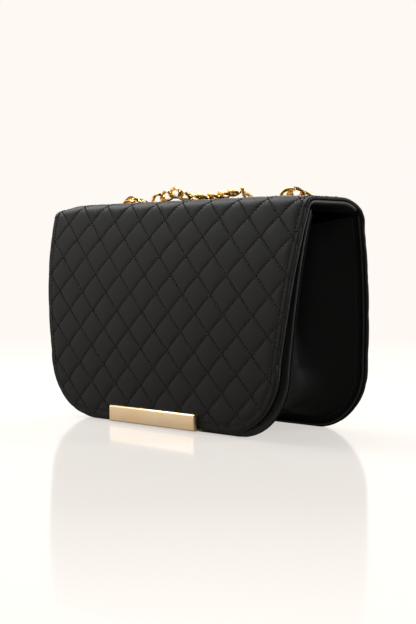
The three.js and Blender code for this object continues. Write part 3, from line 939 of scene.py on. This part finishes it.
def spread_points(loop, edge, margin, gap_x, gap_s, holes=()):
    """Evenly spread points inside a loop, clear of its edge and of its holes."""
    low, high = loop.min(0), loop.max(0)
    columns, rows = np.arange(low[0], high[0], gap_x), np.arange(low[1], high[1], gap_s)
    spread = np.array([(x, s) for x in columns for s in rows])
    spread = spread[inside(spread, loop)]
    spread = spread[distance_to(spread, edge) > margin]
    for hole in holes:
        spread = spread[np.linalg.norm(spread - hole.mean(0), axis=1) > HOLE_CLEARANCE]
    return spread


# ------------------------------------------------------------------ quilted leather

RIM = 0.8  # how far the quilted leather's edge rolls in
STITCH_START = 0.025  # where a stitch starts and ends, as shares of a diamond's side
STITCH_END = 0.134
EYELETS = [np.array((x, s_on_top(EYELET_Y))) for x in EYELET_X]
CELL_STEPS = np.array([0, 0.4, 1.0, 2.0, 3.6, 6.2, QUILT_CELL / 2])
CELL_STEPS = np.concatenate([CELL_STEPS, QUILT_CELL - CELL_STEPS[-2:0:-1]])


def circle(centre, radius, count=32):
    turns = np.linspace(0, 2 * math.pi, count, endpoint=False)
    return np.stack([centre[0] + radius * np.cos(turns), centre[1] + radius * np.sin(turns)], 1)


def quilt_points(low_s, high_s):
    """The points of a grid that follows the quilting, between two distances along the strip."""
    reach = int(TOP_HALF_WIDTH / QUILT_X + (high_s - low_s) / QUILT_S) + 14
    steps = (np.arange(-reach, reach)[:, None] + CELL_STEPS[None, :] / QUILT_CELL).ravel()
    p, q = np.meshgrid(steps, steps)
    x, s = from_quilt(p.ravel(), q.ravel())
    keep = (np.abs(x) < TOP_HALF_WIDTH) & (s > low_s) & (s < high_s)
    return np.stack([x[keep], s[keep]], 1)


class QuiltedSheet:
    """One end of the strip, from the split to its rounded end."""

    def __init__(self, end, holes):
        self.side = rounded_side(end, 0.0, strip_half_width, CORNER)
        self.loop, _ = sheet_outline(self.side)
        self.normals = inward_normals(self.loop)
        self.edge_row = self.loop + self.normals * EDGE_ROW
        self.hole_centres = holes
        self.end = end

    def level(self, flats):
        """Height of the quilted face at each (x, s)."""
        p, q = quilt_coordinates(flats[:, 0], flats[:, 1])
        puff = (rise_from(to_line(p)) * rise_from(to_line(q))) ** 0.85
        edge = distance_to(flats, self.fine_loop())
        row = rise_from(np.abs(edge - EDGE_ROW), 1.5)
        height = GROOVE + (PUFF - GROOVE) * puff * row
        margin = GROOVE + (EDGE_LEVEL - GROOVE) * row * (0.35 + 0.65 * puff)
        height = np.where(edge < EDGE_ROW, margin, height)
        for centre in self.hole_centres:
            off = np.linalg.norm(flats - centre, axis=1)
            press = 1 - smoothstep(7.8, 12.5, off)
            height = height * (1 - press) - 0.25 * press
        return height

    def fine_loop(self):
        return resampled(self.loop, 0.5)

    def nick(self, loop):
        """How deeply the quilting pulls in the sheet's edge."""
        p, q = quilt_coordinates(loop[:, 0], loop[:, 1])
        return 1 - rise_from(to_line(p), 1.4) * rise_from(to_line(q), 1.4)

    def spare_points(self):
        low, high = min(self.end, 0), max(self.end, 0)
        points = quilt_points(low, high)
        points = points[inside(points, np.concatenate([self.loop, [[-TOP_HALF_WIDTH, 0]]]))]
        rows = [self.loop + self.normals * (EDGE_ROW + shift) for shift in (-3.0, -0.9, 0.0, 0.9)]
        rows = np.concatenate([row[1:-1] for row in rows])
        points = points[distance_to(points, rows) > 0.55]
        points = np.concatenate([points, rows])
        points = points[distance_to(points, self.fine_loop()) > RIM + 0.7]
        points = points[np.abs(points[:, 1]) > 0.5]
        for centre in self.hole_centres:
            points = points[np.linalg.norm(points - centre, axis=1) > 7.0]
        return points[inside(points, self.loop + self.normals * RIM)]

    def stitch_ends(self):
        """Flat start and end points of every stitch."""
        starts, ends = [], []
        steps = int(QUILT_CELL / STITCH_PITCH * 40)
        along = np.arange(-steps, steps) * STITCH_PITCH / QUILT_CELL
        for k in range(-30, 31):
            line = np.full_like(along, k)
            for spots, shift in ((starts, STITCH_START), (ends, STITCH_END)):
                spots.append(np.stack(from_quilt(line, along + shift), 1))
                spots.append(np.stack(from_quilt(along + shift, line), 1))
        starts, ends = np.concatenate(starts), np.concatenate(ends)
        low, high = min(self.end, 0), max(self.end, 0)
        keep = (starts[:, 1] > low) & (starts[:, 1] < high) & (np.abs(starts[:, 0]) < TOP_HALF_WIDTH)
        starts, ends = starts[keep], ends[keep]
        keep = inside(starts, self.loop) & (distance_to(starts, self.fine_loop()) > 1.2)
        keep &= distance_to(ends, self.fine_loop()) > 1.2
        for centre in self.hole_centres:
            keep &= np.linalg.norm(starts - centre, axis=1) > 9.5
        row_starts, row_ends = stitch_row(self.edge_row)
        return np.concatenate([starts[keep], row_starts]), np.concatenate([ends[keep], row_ends])


# Along a stitch: shares of its length, of the thread's radius and of its rise.
STITCH_SHAPE = ((0, 0.35, -0.1), (0.25, 0.9, 0.75), (0.75, 0.9, 0.75), (1, 0.35, -0.1))
THREAD_SIDES = 5
ROW_STEP = 0.25  # a row of stitches is measured out in these steps
ROW_PITCH = 12  # steps from one stitch to the next


def stitch_row(line, first=0, last=12):
    """Start and end points of the stitches along a line; first and last steps stay free."""
    row = resampled(line, ROW_STEP)
    picks = np.arange(first, len(row) - last, ROW_PITCH)
    return row[picks + 1], row[picks + ROW_PITCH - 1]


def thread_mesh(centre_at, side, out):
    """Stitches as short bent tubes, as one list of points and of faces.

    centre_at(share, rise) gives their centres, and side and out the two directions across them.
    """
    rings = []
    for share, size, rise in STITCH_SHAPE:
        centre = centre_at(share, THREAD_RISE * rise)
        for i in range(THREAD_SIDES):
            turn = 2 * math.pi * i / THREAD_SIDES
            rings.append(centre + THREAD_RADIUS * size * (side * math.cos(turn) + out * math.sin(turn)))
    points = np.stack(rings, 1)
    count = points.shape[1]
    pattern = grid_faces(len(STITCH_SHAPE), THREAD_SIDES, closed_columns=True)
    pattern += [tuple(range(THREAD_SIDES)), tuple(range(count - THREAD_SIDES, count))]
    faces = [tuple(i + k * count for i in face) for k in range(len(points)) for face in pattern]
    return points.reshape(-1, 3), faces


def stitches(surface, starts, ends, heights):
    """Stitches between flat points of a surface."""
    along = surface(ends[:, 0], ends[:, 1], heights) - surface(starts[:, 0], starts[:, 1], heights)
    middle = (starts + ends) / 2
    out = surface(middle[:, 0], middle[:, 1], heights + 1) - surface(middle[:, 0], middle[:, 1], heights)
    side = unit(np.cross(unit(along), out))

    def centre_at(share, rise):
        spot = starts + (ends - starts) * share
        return surface(spot[:, 0], spot[:, 1], heights + rise)

    return thread_mesh(centre_at, side, out)


def add_quilt_map(piece, flats):
    """Stores each corner's quilting coordinates, which the leather's pattern reads."""
    p, q = quilt_coordinates(flats[:, 0], flats[:, 1])
    layer = piece.data.uv_layers.new(name="quilt")
    corners = np.empty(len(piece.data.loops), int)
    piece.data.loops.foreach_get("vertex_index", corners)
    layer.data.foreach_set("uv", np.stack([p[corners], q[corners]], 1).ravel())


def quilted_piece(name, sheet, replaced):
    holes = [circle(centre, HOLE_RADIUS) for centre in sheet.hole_centres]
    points, faces, flats = sheet_solid(
        sheet.side, strip_point, sheet.level, RIM, -SHELL, sheet.spare_points(), holes, sheet.nick,
    )
    piece = make_piece(name, points, faces, QUILTED, sharp=50)
    add_quilt_map(piece, flats)
    starts, ends = sheet.stitch_ends()
    heights = sheet.level((starts + ends) / 2) + 0.02
    thread = make_piece(name + "_stitches", *stitches(strip_point, starts, ends, heights), THREAD, sharp=80)
    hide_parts(*replaced)
    for thing in (piece, thread):
        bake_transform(thing)


quilted_piece(
    "quilted_back", QuiltedSheet(BACK_END, EYELETS), ("back_panel", "flap_top_shell"),
)
quilted_piece(
    "quilted_flap", QuiltedSheet(FLAP_END, []), ("flap_front_shell",),
)

# ------------------------------------------------------------------ flap lining, front panel

LINING_TOP = -SHELL - 0.25
LINING_DEPTH = LINING_TOP - FLAP_LINING


def plain_spare(side, gap_x, gap_s, holes=()):
    """Spare points for the outer face of a sheet without quilting."""
    loop, _ = sheet_outline(side)
    return spread_points(loop, resampled(loop, 0.5), 2.2, gap_x, gap_s, holes)


def row_stitches(side, surface, height, inset):
    """A row of stitches along a sheet's edge, on the side its surface faces."""
    loop, _ = sheet_outline(side)
    starts, ends = stitch_row(loop + inward_normals(loop) * inset)
    return stitches(surface, starts, ends, np.full(len(starts), height))


def flat_level(height):
    return lambda flats: np.full(len(flats), height)


def strip_lining(name, end, radius, replaced, bodies, bend, holes=()):
    side = rounded_side(end, 0.0, strip_half_width, radius)
    holes = [circle(centre, HOLE_RADIUS) for centre in holes]
    spare = plain_spare(side, 7.0, 2.4, holes)
    points, faces, _ = sheet_solid(
        side, strip_point, flat_level(LINING_TOP), 1.0, LINING_DEPTH, spare, holes,
    )
    piece = make_piece(name, points, faces, PLAIN, sharp=50)

    def under(x, s, height):
        return strip_point(x, s, LINING_DEPTH - height)

    thread = make_piece(name + "_stitches", *row_stitches(side, under, 0.05, 5.0), THREAD, sharp=80)
    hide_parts(replaced)
    for thing in (piece, thread):
        if bend is None:
            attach(thing, bodies)
        else:
            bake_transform(thing)


strip_lining(
    "lining_flap", FLAP_END, CORNER, "flap_front_lining", ("flap_top", "flap_front"),
    (place(0, -19.5, 155), place(0, -27, 149)),
)
strip_lining("lining_top", -36.5, 4.0, "flap_top_lining", "flap_top", None, EYELETS)


def front_point(x, s, height):
    """A point this far in front of the front panel's outer face; s is its depth below the top."""
    z = FRONT_TOP - s
    sunk = 1.2 * smoothstep(104, 127, np.abs(x)) * smoothstep(120, 150, z)
    return np.stack([x, front_y(z) - height, z - sunk], -1)


def panel_half_width(s):
    return bag_half_width(FRONT_TOP - s)


front_side = rounded_side(FRONT_TOP, 0.0, panel_half_width, CORNER)
points, faces, _ = sheet_solid(
    front_side, front_point, flat_level(0.0), 0.75, -FRONT_LEATHER, plain_spare(front_side, 8.0, 4.0),
)
add_part("front_leather", (points, faces), PLAIN, "bag", ["front_panel"])
add_part(
    "front_leather_stitches", row_stitches(front_side, front_point, 0.03, 4.2), THREAD, "bag",
    sharp=80,
)

# ------------------------------------------------------------------ gusset

FOLD_COLUMNS = 56
EDGE_BULGE = 0.35  # how far a cut edge is rounded outwards
SIDE_TOP = 147.0
LINING_SIDE_TOP = 141.0


def side_rim(top):
    """Points round the rim of the bag's right half, each with the direction into the bag."""
    rim = []
    for z in np.linspace(top, CORNER, 44, endpoint=False):
        slope = (bag_half_width(z + 1) - bag_half_width(z - 1)) / 2
        length = math.hypot(1, slope)
        rim.append((bag_half_width(z), z, -1 / length, slope / length))
    half = bag_half_width(CORNER)
    for degrees in range(0, 91, 3):
        turn = math.radians(degrees)
        in_x, in_z = -math.cos(turn), math.sin(turn)
        rim.append((half - CORNER - CORNER * in_x, CORNER - CORNER * in_z, in_x, in_z))
    for x in np.linspace(half - CORNER, BASE_SEAM_X, 10)[1:]:
        rim.append((x, 0.0, 0.0, 1.0))
    return rim


def base_rim():
    return [(x, 0.0, 0.0, 1.0) for x in np.linspace(BASE_SEAM_X - 0.3, 0.3 - BASE_SEAM_X, 40)]


def fold_section(point, flange, lean):
    """The gusset's section at a rim point, as (distance into the bag, y) from front to back."""
    _, z, _, rise = point
    depth = FOLD_AT_BASE + FOLD_GROWTH * (1 - math.exp(-z / FOLD_REACH))

    def wall(inward, share):
        height = z + rise * inward
        front = float(front_y(height)) + FRONT_LEATHER + GAP + GUSSET_LEATHER
        back = back_y(height) - SHELL - GAP - GUSSET_LEATHER
        return front + (back - front) * share

    def blunt(k):
        return math.sqrt(k * k + 0.03)

    section = []
    if flange:
        section += [(inward, wall(inward, 0)) for inward in np.linspace(0, SEAM, 5)[:-1]]
    for k in np.linspace(-1, 1, 33):
        inward = SEAM + depth * (blunt(1) - blunt(k)) / (blunt(1) - blunt(0))
        section.append((inward, wall(SEAM, (k + 1) / 2 + lean * (1 - k * k))))
    if flange:
        section += [(inward, wall(inward, 1)) for inward in np.linspace(SEAM, 0, 5)[1:]]
    return softened(resampled(section, 1.0), 1.3, 1.0)


def fold_grid(rim, flange, dip=0.0, lean=0.0):
    """A gusset's folded sheet as a grid with a row per rim point; dip lowers its fold at the top."""
    rows = []
    for point in rim:
        x, z, in_x, in_z = point
        section = resampled(fold_section(point, flange, lean), 0.2)
        section = section[np.linspace(0, len(section) - 1, FOLD_COLUMNS).round().astype(int)]
        lowered = dip * math.exp(-((rim[0][1] - z) / 5.0) ** 2)
        drop = lowered * np.maximum(section[:, 0] - SEAM, 0) / (FOLD_AT_BASE + FOLD_GROWTH)
        rows.append(np.stack([x + in_x * section[:, 0], section[:, 1], z + in_z * section[:, 0] - drop], 1))
    return np.array(rows)


def surface_normals(grid):
    return unit(np.cross(np.gradient(grid, axis=0), np.gradient(grid, axis=1)))


def wrinkled(grid, amount, seed):
    """Soft folds in leather: a few long creases down the side and gentle unevenness."""
    places = np.random.default_rng(seed)
    normals = surface_normals(grid)
    rows, columns = grid.shape[:2]
    r = np.linspace(0, 1, rows)[:, None]
    c = np.linspace(0, 1, columns)[None, :]
    height = np.zeros((rows, columns))
    for _ in range(9):
        at_c = places.uniform(0.1, 0.9)
        at_r = places.uniform(0.15, 0.95)
        slant = places.uniform(-0.35, 0.35)
        long, wide = places.uniform(0.08, 0.25), places.uniform(0.02, 0.05)
        bend = places.uniform(-0.12, 0.12)
        line = c - at_c - slant * (r - at_r) - bend * np.sin(6 * (r - at_r))
        height += places.uniform(-1, 1) * np.exp(-((line / wide) ** 2) - ((r - at_r) / long) ** 2)
    fade = np.clip(np.minimum(c, 1 - c) / 0.16, 0, 1) ** 1.5
    return grid + normals * (amount * height * fade)[:, :, None]


def leather_shell(outer, thickness):
    """A closed skin: the outer grid, a copy one thickness behind it, and a rounded edge."""
    normals = surface_normals(outer)
    inner = outer - normals * thickness
    rows, columns = outer.shape[:2]
    border = [(0, c) for c in range(columns)] + [(r, columns - 1) for r in range(1, rows)]
    border += [(rows - 1, c) for c in range(columns - 2, -1, -1)] + [(r, 0) for r in range(rows - 2, 0, -1)]
    edge = []
    for r, c in border:
        away = unit(outer[r, c] - outer[min(max(r, 1), rows - 2), min(max(c, 1), columns - 2)])
        edge.append((outer[r, c] + inner[r, c]) / 2 + away * EDGE_BULGE)
    points = np.concatenate([outer.reshape(-1, 3), inner.reshape(-1, 3), np.array(edge)])
    size = rows * columns
    faces = grid_faces(rows, columns)
    faces += [tuple(i + size for i in face) for face in grid_faces(rows, columns)]
    for i, (r, c) in enumerate(border):
        j = (i + 1) % len(border)
        a, b = r * columns + c, border[j][0] * columns + border[j][1]
        faces += [(a, b, 2 * size + j, 2 * size + i), (2 * size + i, 2 * size + j, b + size, a + size)]
    return points, faces


def mirror_grid(grid):
    return grid * np.array([-1, 1, 1])


def grid_stitches(grid, column, lift):
    """A row of stitches down one column of a grid, raised off it."""
    normals = surface_normals(grid)
    seam = np.concatenate([grid[:, column], normals[:, column]], 1)
    starts, ends = stitch_row(seam, 4, 14)
    out = starts[:, 3:]
    run = ends[:, :3] - starts[:, :3]
    side = np.cross(unit(run), out)

    def centre_at(share, rise):
        return starts[:, :3] + run * share + out * (lift + rise)

    return thread_mesh(centre_at, side, out)


def rolled_edge(grid, column):
    """A thin bead of turned leather down one column of a grid, on its outer side."""
    normals = surface_normals(grid)[:, column]
    line = grid[:, column] + normals * SEAM_BEAD_RADIUS * 0.5
    tangents = unit(np.gradient(line, axis=0))
    side = unit(np.cross(tangents, normals))
    out = np.cross(side, tangents)
    turns = np.linspace(0, 2 * math.pi, 12, endpoint=False)
    rings = line[:, None] + SEAM_BEAD_RADIUS * (
        side[:, None] * np.cos(turns)[None, :, None] + out[:, None] * np.sin(turns)[None, :, None]
    )
    return capped_tube(rings)


def add_gusset(name, grid, replaced, wrinkles, seed, lift):
    """A gusset with a bead and a row of stitches along both its seams.

    lift is how far the stitches stand off the grid, negative behind it.
    """
    grid = wrinkled(grid, wrinkles, seed)
    for side, column in (("front", 1), ("back", -2)):
        add_part(
            f"{name}_edge_{side}", rolled_edge(grid, column), PLAIN, "bag", sharp=80,
        )
    # The gusset's skin takes the darker copy of the leather, which is painted shade.
    add_part(name, leather_shell(grid, GUSSET_LEATHER), SHADED_LEATHER, "bag", [replaced], sharp=55)
    for side, column in (("front", 4), ("back", -5)):
        add_part(
            f"{name}_stitches_{side}", grid_stitches(grid, column, lift), THREAD, "bag", sharp=80,
        )


def outward_grid(grid):
    """The grid with its normals pointing away from the bag's inside."""
    centre = np.array([0, 8, 75])
    normals = surface_normals(grid)
    if np.sum(normals * (grid - centre)) < 0:
        return grid[:, ::-1]
    return grid


right_grid = outward_grid(fold_grid(side_rim(SIDE_TOP), flange=True, dip=9, lean=FOLD_LEAN))
left_grid = outward_grid(mirror_grid(right_grid))
base_grid = outward_grid(fold_grid(base_rim(), flange=True))
add_gusset("gusset_leather_right", right_grid, "gusset_right", 0.6, 3, 0.05)
add_gusset("gusset_leather_left", left_grid, "gusset_left", 0.6, 5, 0.05)
add_gusset("gusset_leather_base", base_grid, "gusset_base", 0.5, 8, -0.05)

side_grid = fold_grid(side_rim(LINING_SIDE_TOP), flange=False, dip=5, lean=FOLD_LEAN)
lining_grids = {
    "right": side_grid, "left": mirror_grid(side_grid), "base": fold_grid(base_rim(), flange=False),
}
for side, grid in lining_grids.items():
    grid = outward_grid(grid)
    grid = grid - surface_normals(grid) * (GUSSET_LEATHER + 2 * GAP)
    cloth = leather_shell(wrinkled(grid, 0.15, 11), LINING_CLOTH)
    add_part(f"lining_cloth_{side}", cloth, LINING, "bag", [f"lining_{side}"], sharp=55)

# ------------------------------------------------------------------ metal parts

LATHE_SIDES = 56
RIM_LOW = HEIGHT - 0.1  # underside of an eyelet's rim
SNAP_Z = 44.0
SCREW_X = 30.0
SCREW_Z = 7.5


def upright_ring(profile, x, y):
    """A ring turned about an upright axis; the profile is (radius, z)."""
    turns = np.linspace(0, 2 * math.pi, LATHE_SIDES, endpoint=False)
    rings = [
        np.stack([x + r * np.cos(turns), y + r * np.sin(turns), np.full(LATHE_SIDES, z)], 1)
        for r, z in profile
    ]
    return np.concatenate(rings), grid_faces(len(rings), LATHE_SIDES, True, True)


def turned_solid(profile, x, z):
    """A solid turned about an axis along y; the profile is (radius, y)."""
    turns = np.linspace(0, 2 * math.pi, LATHE_SIDES, endpoint=False)
    return capped_tube(np.array([
        np.stack([x + r * np.cos(turns), np.full(LATHE_SIDES, y), z + r * np.sin(turns)], 1)
        for r, y in profile
    ]))


def rounded_profile(outline, radius=0.35, steps=3):
    """A closed outline with each corner cut to a small arc."""
    outline = np.asarray(outline, float)
    result = []
    for i, corner in enumerate(outline):
        before, after = outline[i - 1] - corner, outline[(i + 1) % len(outline)] - corner
        reach = min(radius, 0.45 * np.linalg.norm(before), 0.45 * np.linalg.norm(after))
        a = corner + before / np.linalg.norm(before) * reach
        b = corner + after / np.linalg.norm(after) * reach
        for t in np.linspace(0, 1, steps + 1):
            result.append((1 - t) ** 2 * a + 2 * t * (1 - t) * corner + t * t * b)
    return np.array(result)


EYELET_PROFILE = rounded_profile([
    (5.2, RIM_LOW - 6.5), (5.9, RIM_LOW - 6.5), (5.9, RIM_LOW), (7.6, RIM_LOW - 0.15),
    (7.65, RIM_LOW + 0.5), (6.9, RIM_LOW + 1.35), (5.9, RIM_LOW + 1.5), (5.2, RIM_LOW + 0.9),
], 0.5)
for i, x in enumerate(EYELET_X, 1):
    add_part(
        f"eyelet_ring_{i}", upright_ring(EYELET_PROFILE, x, EYELET_Y), GOLD, "flap_top",
        [f"eyelet_{i}"], sharp=60,
    )
    low, high = drawn_box(f"eyelet_washer_{i}")
    washer_profile = rounded_profile([
        (6.0, low[2] + 0.1), (7.6, low[2]), (7.6, high[2] - 0.3), (7.0, high[2]), (6.0, high[2]),
    ], 0.25)
    add_part(
        f"washer_ring_{i}", upright_ring(washer_profile, x, EYELET_Y), GOLD, "flap_top",
        [f"eyelet_washer_{i}"], sharp=60,
    )


def bar_solid():
    """The flap's gold bar: a flat front with a bevelled border and a lip under the flap."""
    half = bar_high[0]
    front, back = bar_low[1], bar_high[1]
    low, high = bar_low[2], bar_high[2]
    face_back = FACE_Y - GAP
    lip_top = FLAP_BOTTOM - GAP
    outline = rounded_profile([
        (front + 0.75, high), (front, high - 0.85), (front, low + 0.85), (front + 0.75, low),
        (back, low), (back, lip_top), (face_back, lip_top), (face_back, high),
    ], 0.22)
    middle = np.array([(front + face_back) / 2, (low + high) / 2])
    ends = [(half, 0.8), (half - 0.22, 0.3), (half - 0.75, 0)]
    rings = []
    for x, shrink in [(-x, shrink) for x, shrink in ends] + ends[::-1]:
        ring = outline.copy()
        near_front = ring[:, 0] < face_back - 0.1
        ring[near_front, 0] += shrink * np.clip((face_back - ring[near_front, 0]) / 2.7, 0, 1)
        ring[near_front, 1] += np.sign(middle[1] - ring[near_front, 1]) * shrink * 0.5
        rings.append(np.column_stack([np.full(len(ring), x), ring]))
    return capped_tube(np.array(rings))


add_part("bar_metal", bar_solid(), PALE_GOLD, "flap_front", ["flap_bar"], sharp=28)

SCREW_PROFILE = rounded_profile([
    (0.01, -43.6), (1.0, -43.6), (1.0, -36.5), (2.1, -36.5), (2.1, -36.1), (1.5, -35.8), (0.01, -35.7),
], 0.2)
for side, x in (("left", -SCREW_X), ("right", SCREW_X)):
    add_part(
        f"screw_{side}", turned_solid(SCREW_PROFILE, x, SCREW_Z), STEEL, "flap_front",
        [f"flap_bar_screw_{side}"],
    )

STUD_PROFILE = rounded_profile([
    (0.01, -36.5), (8.0, -36.5), (8.0, -36.1), (7.3, -35.6),
    (4.3, -35.5), (4.0, -34.8), (3.4, -34.6), (0.01, -34.6),
], 0.25)
SOCKET_PROFILE = rounded_profile([
    (0.01, -34.05), (8.0, -34.05), (8.0, -34.5), (7.2, -35.1),
    (5.2, -35.2), (4.6, -34.6), (4.5, -34.3), (0.01, -34.3),
], 0.2)
for name, profile, body in (
    ("snap_stud", STUD_PROFILE, "flap_front"), ("snap_socket", SOCKET_PROFILE, "bag"),
):
    add_part(name + "_metal", turned_solid(profile, 0, SNAP_Z), GOLD, body, [name])


def rounded_block(low, high, radius):
    """A box with rounded corners, seen from the front, and softened front and back edges."""
    soft = min(0.35, 0.3 * (high[1] - low[1]))
    corners = (low[0], low[2]), (high[0], high[2])
    return capped_tube([
        [(x, y, z) for x, z in rounded_rectangle(*corners, radius, shrink, 18)]
        for y, shrink in ((low[1], soft), (low[1] + soft, 0), (high[1] - soft, 0), (high[1], soft))
    ])


ZIP_Z = 111.06  # middle of the zip's teeth
TEETH_REACH = 72.0
TEETH_PITCH = 1.5

low, high = drawn_box("zip_slider")
add_part(
    "slider_metal", join_parts([
        rounded_block(low, (high[0], high[1] - 0.4, high[2]), 2.2),
        rounded_block((low[0] + 2.6, low[1] - 0.9, 110), (high[0] - 2.6, low[1] + 0.1, 114.6), 1.2),
    ]), GOLD, "slider", ["zip_slider"],
)
low, high = drawn_box("zip_pull")
middle = (low[0] + high[0]) / 2
add_part(
    "pull_metal", join_parts([
        rounded_block(low, (high[0], high[1], 107.5), 2.0),
        rounded_block((middle - 0.9, low[1], 106.5), (middle + 0.9, high[1], high[2]), 0.8),
    ]), GOLD, "pull", ["zip_pull"],
)


def zip_teeth():
    """Two rows of teeth that take turns along the zip."""
    parts = []
    for left in np.arange(-TEETH_REACH, TEETH_REACH + 0.5, TEETH_PITCH):
        for side, shift in ((1, 0), (-1, TEETH_PITCH / 2)):
            x = left + shift
            z = ZIP_Z + side * 0.75
            parts.append(rounded_block((x - 0.45, 33.55, z - 0.85), (x + 0.45, 34.5, z + 0.85), 0.4))
    return join_parts(parts)


add_part("zip_teeth", zip_teeth(), GOLD, "bag")
for name in ("zip_stop_left", "zip_stop_right"):
    add_part(name + "_metal", rounded_block(*drawn_box(name), 0.9), GOLD, "bag", [name])

# ------------------------------------------------------------------ carried-over pieces

KEPT_NODES = {
    BOARD: ("front_board", "back_board", "base_board"),
    LINING: ("front_lining", "back_lining", "pocket_bag", "zip_tape_upper", "zip_tape_lower"),
    PALE_GOLD: ("flap_bar_plate",),
}
for material, names in KEPT_NODES.items():
    for name in names:
        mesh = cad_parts[name].data
        mesh.materials.clear()
        mesh.materials.append(material)
